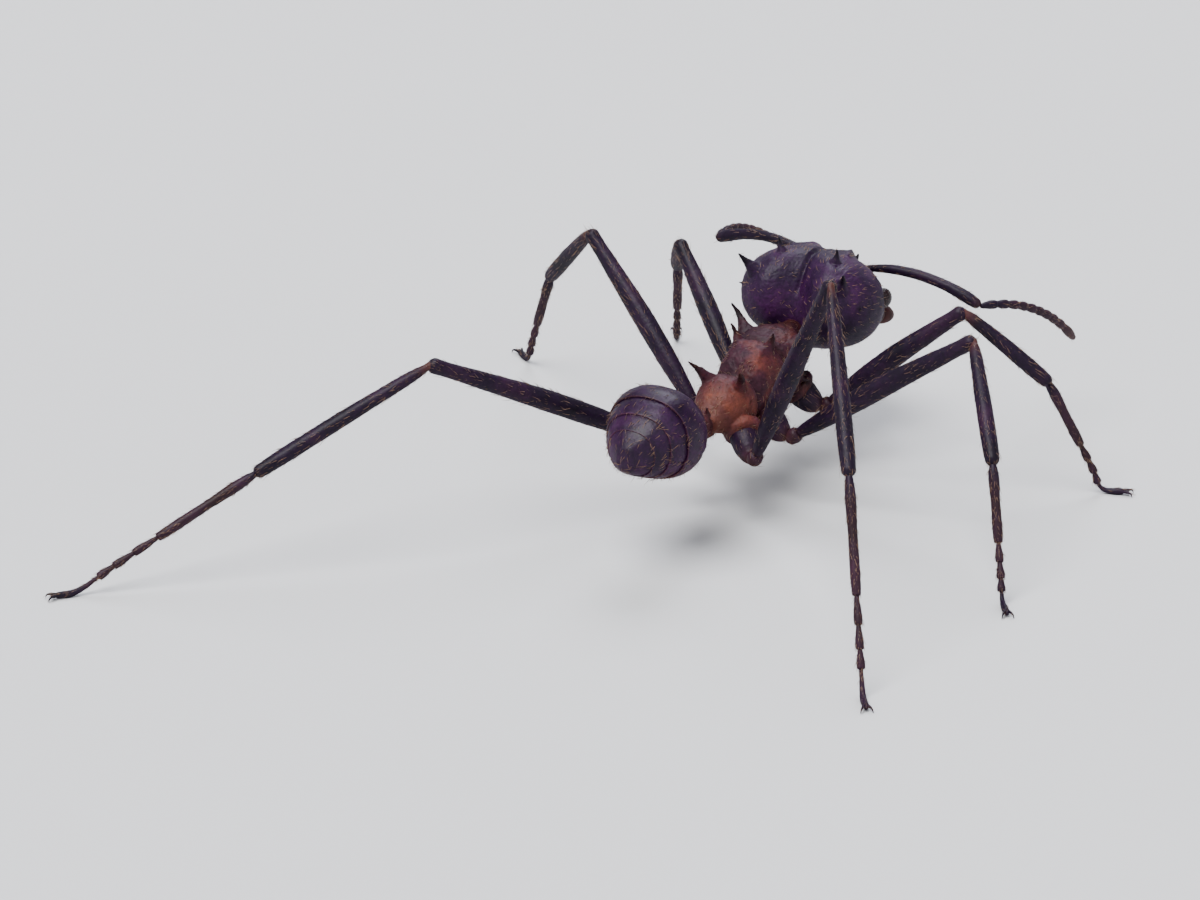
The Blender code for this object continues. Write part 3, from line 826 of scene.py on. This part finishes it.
def make_head():
    ways, faces = ball_grid(HEAD_GRID)
    points = head_surface(ways)
    points = points + unit(points / HEAD_HALF**2) * head_relief(points)[:, None]
    shape = fused([(points, faces), *spine_shapes(HEAD_SPINES)], HEAD_VOXEL)
    shape = weathered(shape, (0.006, 0.34), (0.006, 0.075), HEAD_STREAKS)
    fold = folded(shape[0])
    below, on_face = shield(fold)
    tone = added(fold, (*spine_tips(HEAD_SPINES, 0.85, 0.6, 1.2), *HEAD_TONES))
    # Painted shade in the groove along the top edge of the shield over the mouth.
    tone += 0.45 * hill(below, 0.03) * on_face
    shape = placed_on_head(shape)
    make_piece("head_capsule", shape, "head_shell", ["head"], tone)
    return shape


def make_eye(side):
    """A dome of many small round facets, one round each point of a ball."""
    work = bmesh.new()
    bmesh.ops.create_icosphere(work, subdivisions=3, radius=1)
    count = len(work.verts)
    bmesh.ops.subdivide_edges(work, edges=work.edges, cuts=3, use_grid_fill=True)
    points, faces = shape_from(work)
    points = unit(points)
    away = np.sqrt(np.maximum(0, 2 - 2 * (points @ points[:count].T).max(axis=1)))
    away /= away.max()
    domed = 1.0 - 0.055 * away**2
    middle = EYE_AT + EYE_BULGE * unit(EYE_AT / HEAD_HALF**2)
    shape = placed_on_head((on_side(side, middle + points * EYE_HALF * domed[:, None]), faces))
    make_piece(f"{side}_compound_eye", shape, "eye", [f"{side}_eye"], away)


def rounded_start(share, reach):
    """0 at share 0, rising along a quarter round to 1 at reach."""
    return np.sqrt(1 - (1 - np.clip(share / reach, 0, 1)) ** 2)


def jaw_edges(share):
    """The jaw's outer edge, its inner edge and how far its teeth stand out, at shares of its length."""
    base = 0.42 + 0.58 * rounded_start(share, JAW_BASE_REACH)
    outer = JAW_ROOT_WIDTH * np.sqrt(np.maximum(0, 1 - share**2.2)) * base
    cutting = np.clip((share - JAW_MARGIN_START) / (1 - JAW_MARGIN_START), 0, 1)
    inner = np.where(cutting > 0, -0.3 + 0.29 * cutting**1.1, -0.16 - 0.14 * share / JAW_MARGIN_START)
    phase = np.clip(cutting * JAW_TEETH, 0, JAW_TEETH - 1e-6)
    saw = phase - np.floor(phase)
    size = 0.055 + 0.08 * (np.floor(phase) / (JAW_TEETH - 1)) ** 2
    teeth = np.where(cutting > 0, size * np.minimum(saw / 0.75, (1 - saw) / 0.25), 0)
    return outer, np.minimum(inner, outer - 0.02), teeth


def make_mandible(side):
    """A curved blade, thick at its outer edge and sharp at its toothed one."""
    share = np.concatenate([np.linspace(0.004, 0.45, 56), np.linspace(0.453, 0.9985, 260)])
    share, outer, inner, teeth = (row[:, None] for row in (share, *jaw_edges(share)))
    plump = 0.25 + 0.75 * rounded_start(share, JAW_BASE_REACH)
    thick = JAW_THICKNESS / 2 * (1.0 - 0.7 * share**1.2) * plump
    angles = turns(JAW_SIDES)
    across = (1 - np.cos(angles)) / 2
    edge = np.where(across < 0.5, 1.0, (np.clip(1 - across, 0, 1) / 0.5) ** 0.55)
    height = np.sin(angles) * edge
    # Furrows run along the blade and fade out at its root and its toothed margin.
    near_margin = np.clip((across - 0.8) / 0.2, 0, 1) ** 1.5
    furrows = JAW_FURROW_DEPTH * np.cos(across * JAW_FURROW_TURN + 3 * share)
    furrows = furrows * np.clip(share * 6 - 1, 0, 1) * (1 - near_margin)
    x = outer + (inner - outer) * across - teeth * near_margin
    y = np.broadcast_to(-JAW_LENGTH * share, x.shape)
    z = thick * height - 0.15 * share**2 + furrows * np.clip(4 * height, -1, 1)
    c, s = math.cos(-JAW_SWING), math.sin(-JAW_SWING)
    blade = skin_over(np.stack([c * x - s * y, s * x + c * y, z], axis=-1) + JAW_AT)
    toothed = np.clip((across - 0.62) / 0.3, 0, 1) * np.clip(share / 0.4, 0, 1)
    dark = np.maximum(toothed, np.clip((share - 0.7) * 3, 0, 1))
    root = swept(smooth_line(JAW_ROOT_LINE), JAW_ROOT_OUTLINE, (0.12, 0.14), flat=0.85)
    tone = np.concatenate([dark.ravel(), [0.3, 1.0], np.full(len(root[0]), 0.35)])
    points, faces = joined([blade, root])
    shape = placed_on_head((on_side(side, points), faces))
    make_piece(f"{side}_jaw_blade", shape, "mandible", [f"{side}_mandible"], tone)


def make_mouth():
    """The upper lip, the parts under the jaws, and the short palps."""
    lip = smooth_line([(0, -0.98, -0.02), (0, -1.1, -0.12), (0, -1.16, -0.24)])
    maxilla = smooth_line([(0.2, -0.82, -0.5), (0.19, -1.08, -0.42), (0.12, -1.24, -0.34)])
    palp = smooth_line([(0.26, -1.1, -0.46), (0.4, -1.26, -0.56), (0.36, -1.44, -0.6)])
    labium = smooth_line([(0, -0.85, -0.54), (0, -1.12, -0.46), (0, -1.27, -0.36)])
    shapes = [swept(lip, ((0, 0.32), (0.5, 0.3), (1, 0.2)), (0.06, 0.09), flat=0.22)]
    for side in BOTH_SIDES:
        outline = ((0, 0.17), (0.6, 0.16), (1, 0.08))
        shapes.append(swept(on_side(side, maxilla), outline, (0.1, 0.1), flat=0.6))
        line = on_side(side, palp)
        shapes += jointed(line, PALP_JOINTS, [PALP_BEAD] * 3, 0.02, (0.03, 0.03), sides=12, step=0.03)
    shapes.append(swept(labium, ((0, 0.12), (0.6, 0.13), (1, 0.07)), (0.08, 0.08), flat=0.7))
    shape = placed_on_head(joined(shapes))
    make_piece("mouthparts", shape, "mandible", tone=np.full(len(shape[0]), 0.8))


def thorax_relief(rings, height):
    """Sutures and swellings of the thorax, as an offset outward for each point of its rings."""
    x, y, z = rings[..., 0], rings[..., 1], rings[..., 2]
    tall = np.broadcast_to(height, y.shape)
    # The slanting suture behind the pronotum, swollen before it, and the one before the propodeum.
    seam = -0.42 + 0.2 * tall
    relief = -0.065 * hill(y - seam, 0.045) + 0.03 * hill(y - seam + 0.13, 0.1)
    relief -= 0.085 * hill(y - 0.6 - 0.05 * tall, 0.06)
    # Lengthwise grooves on the flanks, and the swelling over each hind hip.
    relief -= 0.045 * hill(tall + 0.12 - 0.25 * (y + 0.2), 0.09) * hill(y - 0.12, 0.42)
    relief -= 0.04 * hill(tall + 0.35 - 0.2 * (y - 1.1), 0.09) * hill(y - 1.1, 0.4)
    relief += 0.06 * hill(y - 1.45, 0.17) * hill(tall + 0.55, 0.25)
    # Two ridges on the mesothorax, a furrow along the propodeum, and its breathing holes.
    relief += 0.035 * hill(np.abs(x) - 0.3, 0.07) * hill(y - 0.05, 0.35) * (tall > 0.3)
    relief -= 0.03 * hill(x, 0.1) * hill(y - 0.95, 0.35) * (tall > 0.4)
    spiracle = np.hypot(y - 1.08, z - 2.32)
    relief += 0.03 * hill(spiracle - 0.07, 0.03) - 0.05 * hill(spiracle, 0.035)
    return relief


def make_thorax():
    places = np.arange(THORAX[0][0], THORAX[-1][0] + 0.16, 0.025)
    rings, height = body_rings(THORAX, places)
    rings = swollen_rings(rings, thorax_relief(rings, height))
    hips = []
    for hip, trochanter, *_ in LEG_PAIRS.values():
        hip, trochanter = np.array(hip), np.array(trochanter)
        line = smooth_line([hip, hip * 0.62 + trochanter * 0.38])
        hips += pair(line, ((0, 0.4), (0.6, 0.39), (1, 0.34)), (0.1, 0.12))
    shape = fused([skin_over(rings), *hips, *spine_shapes(THORAX_SPINES)], THORAX_VOXEL)
    shape = weathered(shape, (0.016, 0.22), (0.006, 0.06))
    y = shape[0][:, 1]
    rows = (*spine_tips(THORAX_SPINES, 0.8, 0.65, 1.1), *THORAX_TONES)
    tone = added(folded(shape[0]), rows) + 0.5 * step(-0.45 - y, 0.45)
    # Painted shade in the two suture grooves across the thorax.
    tone += 0.35 * hill(y + 0.32, 0.07) + 0.45 * hill(y - 0.6, 0.07)
    nodes = ["pronotum", "mesothorax", "propodeum"]
    make_piece("thorax_shell_plates", shape, "thorax_shell", nodes, tone)
    return shape


def make_waist():
    """The petiole and the postpetiole, each a ring-like node with a narrow neck."""
    made = []
    nodes = {"petiole": (PETIOLE, PETIOLE_SPINES), "postpetiole": (POSTPETIOLE, ())}
    for name, (outline, spines) in nodes.items():
        start, end = outline[0][0], outline[-1][0]
        places = np.arange(start - 0.12, end + 0.13, 0.015)
        rings, height = body_rings(outline, places, WAIST_SIDES)
        ends = np.clip(np.minimum(places - start + 0.12, end + 0.12 - places) / 0.1, 0, 1)
        rings = scaled_rings(rings, (0.55 + 0.42 * ends**0.5)[:, None, None])
        rings[..., 2] -= 0.05 * hill(places - (start + end) / 2, 0.09)[:, None] * (height < -0.8)
        shape = fused([skin_over(rings), *spine_shapes(spines)], WAIST_VOXEL)
        shape = weathered(shape, (0.012, 0.16), (0.005, 0.05))
        y = shape[0][:, 1]
        tone = -0.55 * hill(y - start, 0.1) - 0.5 * hill(y - end, 0.08) - 0.1
        make_piece(f"{name}_node", shape, "thorax_shell", [name], tone)
        made.append(shape)
    return made


def gaster_plate(start, end, first, last):
    """One ring of the tail's shell, whose rear lip lies over the front of the next."""
    begin = start if first else start - GASTER_TUCK
    places = np.linspace(begin, end, round((end - begin) / GASTER_STEP))
    rings, height = body_rings(GASTER, places, GASTER_SIDES)
    rise = np.clip((places - start) / (end - start), 0, 1)
    scale = np.ones(len(places)) if first else 0.95 + 0.045 * rise**0.8
    rings = scaled_rings(rings, scale[:, None, None])
    rings = swollen_rings(rings, -0.022 * hill(height + 0.42, 0.05) - 0.012 * (height < -0.42))
    if last:
        return skin_over(rings)
    lip = [scaled_rings(rings[-1:], scale) for scale in (0.99, 0.975, 0.955, 0.9)]
    for back, ring in zip((0.006, 0.004, -0.006, -0.03), lip):
        ring[..., 1] += back
    return skin_over(np.concatenate([rings, *lip]))


def make_gaster():
    shapes = []
    last = len(GASTER_EDGES) - 1
    for number, (start, end) in enumerate(zip(GASTER_EDGES, GASTER_EDGES[1:]), 1):
        shape = gaster_plate(start, end, number == 1, number == last)
        shape = weathered(shape, (0.008, 0.32), (0.0025, 0.06))
        _, y, z = shape[0].T
        # A dark band before the rear lip; painted shade at the front, where the plate comes out from
        # under the one before; paler underneath and at the lip's rim.
        tone = 0.45 * hill(y - end + 0.03, 0.035) + 0.3 * hill(y - start, 0.07)
        tone -= 0.25 * hill(z - 1.75, 0.3)
        if number < last:
            tone -= 0.35 * hill(y - end, 0.02)
        make_piece(f"gaster_plate_{number}", shape, "gaster_shell", [f"gaster_{number}"], tone)
        shapes.append(shape)
    return shapes


# -------- legs and feelers


def leg_joints(side, pair_name):
    """The leg's joints from hip to toe: hip, trochanter, knee, ankle, toe root and toe."""
    hip, trochanter, femur, tibia, tarsus = LEG_PAIRS[pair_name]
    swing, rise, out, back = STANCE[side, pair_name]
    swing, rise = math.radians(swing), math.radians(rise)
    level = math.cos(rise)
    aim = np.array((math.cos(swing) * level, math.sin(swing) * level, math.sin(rise)))
    knee = np.array(trochanter) + aim * femur
    toe = np.array((out, back, TOE_HEIGHT))
    toe_root = toe + unit((knee - toe) * (1, 1, 0)) * TOE_LENGTH + (0, 0, TOE_RISE)
    # The ankle keeps both lengths, and stands up from the line between knee and toe root.
    reach = np.linalg.norm(toe_root - knee)
    along = unit(toe_root - knee)
    run = (reach**2 + tibia**2 - (tarsus - TOE_LENGTH) ** 2) / (2 * reach)
    lift = unit(np.array((0, 0, 1)) - along * along[2])
    ankle = knee + along * run + lift * math.sqrt(max(0.0, tibia**2 - run**2))
    return [on_side(side, joint) for joint in (hip, trochanter, knee, ankle, toe_root, toe)]


def make_limb(name, node, line, shapes, start, end, reach, at_start, at_end, middle=0.0):
    """A piece of a limb; gives its shape and its line. It has one tone within about reach of its start,
    one within about reach of its end, and one in its middle."""
    shape = joined(shapes)
    rows = (at_start - middle, reach, start), (at_end - middle, reach, end)
    make_piece(f"{name}_shell", shape, "leg_shell", [node], middle + added(shape[0], rows))
    return shape, line


def claws(line):
    """Two hooked claws and the pad between them at the end of a foot."""
    tip = line[-1]
    ahead = unit((tip - line[-6]) * (1, 1, 0))
    aside = np.cross(ahead, (0, 0, 1))
    shapes = []
    for turn in (-1, 1):
        hook = [tip + ahead * far + aside * wide * turn + (0, 0, up) for far, wide, up in CLAW_LINE]
        shapes.append(swept(smooth_line(hook), CLAW, (0.02, 0.01), sides=12, step=0.015))
    pad = smooth_line([tip - ahead * 0.03, tip + ahead * 0.05, tip + ahead * 0.1 - (0, 0, 0.01)])
    shapes.append(swept(pad, ((0, 0.03), (0.6, 0.045), (1, 0.03)), (0.02, 0.03), sides=14, step=0.02))
    return shapes


def tarsus_line(ankle, toe_root, toe):
    """From the ankle down to the floor and along it, close over the floor at the end."""
    root, tip = (np.array((*joint[:2], up)) for joint, up in zip((toe_root, toe), TOE_LINE_HEIGHTS))
    before = ankle + (root - ankle) * 0.8 + (0, 0, 0.02)
    return smooth_line([ankle, (ankle + before) / 2, before, root, tip])


def make_leg(side, pair_name):
    """One leg's pieces; gives each with its line."""
    hip, trochanter, knee, ankle, toe_root, toe = leg_joints(side, pair_name)

    line = smooth_line([hip, (hip + trochanter) / 2 + (0, 0, -0.03), trochanter])
    shapes = [swept(line, COXA, (0.12, 0.14), rough=0.006)]
    coxa = line, shapes, hip, trochanter, 0.22, 0.2, -0.45

    along = unit(knee - trochanter)
    neck = trochanter + along * 0.3
    line = smooth_line([neck - along * 0.05, (neck + knee) / 2 + (0, 0, 0.05), knee + along * 0.06])
    shapes = [
        swept(smooth_line([trochanter - along * 0.05, neck]), TROCHANTER, (0.1, 0.08)),
        swept(line, FEMUR, (0.06, 0.15), flat=1.06, rough=0.004),
    ]
    femur = line, shapes, trochanter, knee, 0.26, -0.45, 0.25

    along = unit(ankle - knee)
    line = smooth_line([knee - along * 0.05, (knee + ankle) / 2 + (0, 0, 0.02), ankle + along * 0.04])
    shapes = [swept(line, TIBIA, (0.1, 0.12), flat=0.94, rough=0.004)]
    if pair_name == "front":
        shapes.append(strigil(ankle, unit(toe_root - ankle), along))
    tibia = line, shapes, knee, ankle, 0.24, -0.55, 0.25

    line = tarsus_line(ankle, toe_root, toe)
    outlines = [BASITARSUS, *[TARSAL_BEAD] * 3, LAST_TARSAL]
    beads = jointed(line, TARSAL_JOINTS, outlines, 0.012, (0.03, 0.035), sides=18, rough=0.002)
    tarsus = line, [*beads, *claws(line)], ankle, toe, 0.4, 0.0, 0.35, -0.12

    made = []
    for joint, limb in (("coxa", coxa), ("femur", femur), ("tibia", tibia), ("tarsus", tarsus)):
        name = f"{side}_{pair_name}_{joint}"
        made.append(make_limb(name, name, *limb))
    return made


def strigil(ankle, down, along):
    """The curved comb at the end of a front tibia, with which an ant cleans its feelers."""
    inward = unit(np.cross(along, (0, 0, 1)))
    root = ankle - along * 0.06 + inward * 0.11
    line = smooth_line([root, root + down * 0.16 + inward * 0.09, root + down * 0.36 + inward * 0.02])
    outline = ((0, 0.035), (0.5, 0.026), (1, 0.008))
    return swept(line, outline, (0.02, 0.02), flat=0.6, sides=12, step=0.02)


def make_antenna(side):
    """Scape and jointed funiculus; gives each with its line."""
    elbow, lean, tip = (np.array(point) for point in ANTENNAE[side])
    socket = to_ant(on_side(side, SOCKET_AT))
    line = bow(socket, (socket + elbow) / 2 + (0, 0, SCAPE_ARCH), elbow)
    shapes = [
        swept(line[:3], ((0, 0.085), (1, 0.085)), (0.05, 0.05), sides=18),
        swept(line, SCAPE, (0.04, 0.09), sides=20, rough=0.003),
    ]
    scape = line, shapes, socket, elbow, 0.2, 0.1, -0.2, 0.05
    line = bow(elbow, lean, tip)
    outlines = [PEDICEL, *[FLAGELLAR_BEAD] * (len(FUNICULUS_JOINTS) - 3), LAST_FLAGELLAR]
    beads = jointed(line, FUNICULUS_JOINTS, outlines, 0.008, (0.03, 0.04), sides=18, step=0.025)
    funiculus = line, beads, elbow, tip, 0.6, 0.1, -0.35, -0.1
    limbs = {"scape": scape, "funiculus": funiculus}
    return [make_limb(f"{side}_{part}", f"{side}_antenna_{part}", *limbs[part]) for part in limbs]


# -------- hairs


def hairs_on(random, hair, shape, line, where=None):
    """Hairs over a shape, lying towards the end of its line, and where each stands: its turn round the
    line and its share along it. where gives the share of the hairs that grow at a place."""
    density, length, width, rise = hair
    corners, areas, normals = triangles(shape)
    weights = areas * density
    if where:
        weights = weights * where(corners.mean(axis=1), normals)
    count = int(round(weights.sum()))
    picks = random.choice(len(weights), size=count, p=weights / weights.sum())
    a, b = random.random((2, count, 1))
    over = a + b > 1
    a, b = np.where(over, 1 - a, a), np.where(over, 1 - b, b)
    first, second, third = corners[picks].transpose(1, 0, 2)
    roots = first + a * (second - first) + b * (third - first)
    out = normals[picks]
    share, centre, flow, side, top = beside(line, roots)
    flow = flow + HAIR_STRAYING * random.normal(size=flow.shape)
    lie = unit(flow - out * (flow * out).sum(axis=1, keepdims=True))
    tilt = np.radians(rise + HAIR_RISE_SPREAD * random.normal(size=(count, 1)))
    long = length * (0.7 + 0.6 * random.random((count, 1)))
    # Each hair rises less and leans further over towards its tip.
    s = HAIR_STATIONS[None, :, None]
    up = (np.sin(tilt) * long)[:, None] * (s - 0.46 * s**2)
    ahead = (np.cos(tilt) * long)[:, None] * (s + 0.3 * s**2)
    spine = roots[:, None] - HAIR_DEPTH * out[:, None] + out[:, None] * up + lie[:, None] * ahead
    angles = turns(HAIR_SIDES)[:, None]
    ring = np.cos(angles) * np.cross(lie, out)[:, None] + np.sin(angles) * out[:, None]
    rings = spine[:, :, None] + width / 2 * HAIR_WIDTHS[None, :, None, None] * ring[:, None]
    away = roots - centre
    turn = np.arctan2((away * top).sum(axis=1), (away * side).sum(axis=1)) / math.tau + 0.5
    return rings, np.stack([turn, share], axis=1)


def grow_coat(name, slot, seed, layers, hosts):
    """A piece of layers of hair. A host is a shape, the line that its hairs lie along and, unless they
    grow all over it, where. In the OFBake map each host has a row, with a margin round it, and each
    hair a small patch at its root's place."""
    random = np.random.default_rng(seed)
    hairs, spots = [], []
    for layer in layers:
        for row, (host, hair) in enumerate(zip(hosts, layer)):
            rings, places = hairs_on(random, hair, *host)
            hairs.append(rings)
            spots.append((places * (0.98, 0.92) + (0.01, row + 0.04)) / (1, len(hosts)))
    hairs, spots = np.concatenate(hairs), np.concatenate(spots)
    stations, sides = hairs.shape[1:3]
    each = stations * sides
    ends = tuple(range(sides)), tuple(range(each - 1, each - sides - 1, -1))
    faces = [*ends, *bands(stations, sides)]
    shape = joined((hair.reshape(-1, 3), faces) for hair in hairs)
    mesh = make_piece(name, shape, slot, material=BRISTLES).data
    layer = mesh.uv_layers.new(name="OFBake")
    corners = np.empty(len(mesh.loops), int)
    mesh.loops.foreach_get("vertex_index", corners)
    around = (corners % sides) / (sides - 1) - 0.5
    along = HAIR_STATIONS[(corners // sides) % stations] - 0.5
    places = spots[corners // each] + HAIR_PATCH * np.stack([around, along], axis=1)
    layer.data.foreach_set("uv", places.astype(np.float32).ravel())


def triangles(shape):
    """Corners, areas and outward directions of a shape's triangles."""
    mesh = mesh_from("work", shape)
    mesh.calc_loop_triangles()
    index = np.empty(len(mesh.loop_triangles) * 3, int)
    mesh.loop_triangles.foreach_get("vertices", index)
    bpy.data.meshes.remove(mesh)
    corners = shape[0][index.reshape(-1, 3)]
    normals = np.cross(corners[:, 1] - corners[:, 0], corners[:, 2] - corners[:, 0])
    areas = lengths(normals) / 2
    return corners, areas, normals / np.maximum(2 * areas, 1e-12)[:, None]


def beside(line, roots):
    """Where a line is nearest to each root: the share of its length, the place, and its three ways."""
    nearest = np.linalg.norm(roots[:, None] - line[None], axis=2).argmin(axis=1)
    gone = distances(line)
    return [row[nearest] for row in (gone / gone[-1], line, *directions(line))]


def body_line(outline):
    rows = np.array(outline)
    return smooth_line(np.stack([0 * rows[:, 0], rows[:, 0], (rows[:, 1] + rows[:, 2]) / 2], axis=1))


def off_the_floor(places, normals):
    """1 where a hair has room, 0 on soles."""
    return np.where((places[:, 2] > SOLE_HEIGHT) | (normals[:, 2] > 0.3), 1.0, 0.0)


def behind(start):
    """Keeps hairs off what lies in front of start, under the plate before."""
    return lambda places, normals: np.where(places[:, 1] > start, 1.0, 0.0)


def make_bristles(head, thorax, waist, gaster, legs, feelers):
    """Short curved hairs, thin on the head and tail and denser on legs and feelers."""
    line = smooth_line(to_ant([(0, 1.2, 0.05), (0, 0, 0), (0, -1.3, -0.05)]))
    grow_coat("head_bristles", "head_shell", 11, HEAD_HAIR, [(head, line)])
    plates = zip((thorax, *waist), (THORAX, PETIOLE, POSTPETIOLE))
    hosts = [(shape, body_line(outline)) for shape, outline in plates]
    grow_coat("thorax_bristles", "thorax_shell", 12, THORAX_HAIR, hosts)
    line = body_line(GASTER)
    hosts = [(shape, line, behind(start)) for shape, start in zip(gaster, GASTER_EDGES)]
    grow_coat("gaster_bristles", "gaster_shell", 13, GASTER_HAIR, hosts)
    for seed, ((side, pair_name), limbs) in enumerate(legs.items(), 20):
        hosts = [(*limb, off_the_floor) for limb in limbs]
        grow_coat(f"{side}_{pair_name}_leg_bristles", "leg_shell", seed, LEG_HAIR, hosts)
    for seed, (side, limbs) in enumerate(feelers.items(), 30):
        grow_coat(f"{side}_feeler_bristles", "leg_shell", seed, FEELER_HAIR, limbs)


# -------- floor, light and camera

# The camera's azimuth and elevation in degrees, its lens in millimetres, the share of the frame that
# the ant takes up, and the frame's shape.
VIEW = (210, 24)
LENS = 180
FILL = 0.9
ASPECT = 1200 / 900
WORLD_COLOUR = (0.86, 0.88, 0.92, 1)
WORLD_STRENGTH = 0.3
# The floor from its middle to its rim, as (radius, height) in metres.
FLOOR_OUTLINE = ((0.0, 0.0), (0.45, 0.0), (0.62, 0.02), (0.76, 0.09), (0.86, 0.22), (0.9, 0.42))
FLOOR_SIDES = 96


def make_floor():
    """A pale round floor that curves up into its own backdrop all the way round."""
    rows = smooth_rows([(i, *row) for i, row in enumerate(FLOOR_OUTLINE)], np.linspace(0, 5, 41))[1:]
    angles = turns(FLOOR_SIDES)
    points = [(r * math.cos(a), r * math.sin(a), max(0.0, height)) for r, height in rows for a in angles]
    faces = [tuple(range(FLOOR_SIDES)), *(face[::-1] for face in bands(len(rows), FLOOR_SIDES))]
    mesh = bpy.data.meshes.new("floor")
    mesh.from_pydata(points, [], faces)
    mesh.shade_smooth()
    paper = Shell("pale_floor")
    colour = paper.ramp(paper.noise(30, 3), (0.3, (0.49, 0.49, 0.5)), (0.7, (0.51, 0.51, 0.52)))
    mesh.materials.append(paper.finish(colour, paper.worn(12, 0.72, 0.82)))
    add_object("floor", mesh)


def make_light(name, azimuth, elevation, distance, size, power, colour=(1, 1, 1)):
    light = bpy.data.lights.new(name, "AREA")
    light.shape = "DISK"
    light.size = size
    light.energy = power
    light.color = colour
    lamp = add_object(name, light)
    back = back_vector(azimuth, elevation)
    lamp.location = back * distance
    lamp.rotation_euler = back.to_track_quat("Z", "Y").to_euler()


def back_vector(azimuth, elevation):
    """From the ant towards a viewer at this azimuth and elevation, both in degrees."""
    turn, rise = math.radians(azimuth), math.radians(elevation)
    level = math.cos(rise)
    return Vector((math.sin(turn) * level, -math.cos(turn) * level, math.sin(rise)))


def make_lights():
    make_light("key", 160, 66, 1.44, 1.1, 46)
    make_light("fill", 262, 38, 1.68, 1.2, 9, (0.91, 0.94, 1.0))
    make_light("rim", 20, 50, 1.6, 0.9, 27, (0.9, 0.92, 1.0))
    world = bpy.data.worlds.new("studio")
    bpy.context.scene.world = world
    world.use_nodes = True
    backdrop = world.node_tree.nodes["Background"]
    backdrop.inputs["Color"].default_value = WORLD_COLOUR
    backdrop.inputs["Strength"].default_value = WORLD_STRENGTH


def make_camera():
    """Looks at the ant from behind its right side, from as high as it was seen, to fill the frame."""
    data = bpy.data.cameras.new("camera")
    data.lens = LENS
    data.clip_start = 0.005
    data.clip_end = 10
    camera = add_object("camera", data)
    back = back_vector(*VIEW)
    turn = back.to_track_quat("Z", "Y")
    right, up = turn @ Vector((1, 0, 0)), turn @ Vector((0, 1, 0))
    points = np.concatenate([shape_of(node.data)[0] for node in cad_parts.values()])
    width = 0
    middle = Vector((0, 0, 0))
    for axis, widening in ((right, 1), (up, ASPECT)):
        across = points @ np.array(axis)
        width = max(width, (across.max() - across.min()) * widening / FILL)
        middle += axis * float(across.max() + across.min()) / 2
    camera.location = middle + back * (width * data.lens / data.sensor_width)
    camera.rotation_euler = turn.to_euler()
    bpy.context.scene.camera = camera


def main():
    make_camera()
    make_floor()
    make_lights()
    head = make_head()
    for side in BOTH_SIDES:
        make_eye(side)
        make_mandible(side)
    make_mouth()
    thorax = make_thorax()
    waist = make_waist()
    gaster = make_gaster()
    legs = {(side, pair_name): make_leg(side, pair_name) for side, pair_name in STANCE}
    feelers = {side: make_antenna(side) for side in ANTENNAE}
    make_bristles(head, thorax, waist, gaster, legs, feelers)


main()
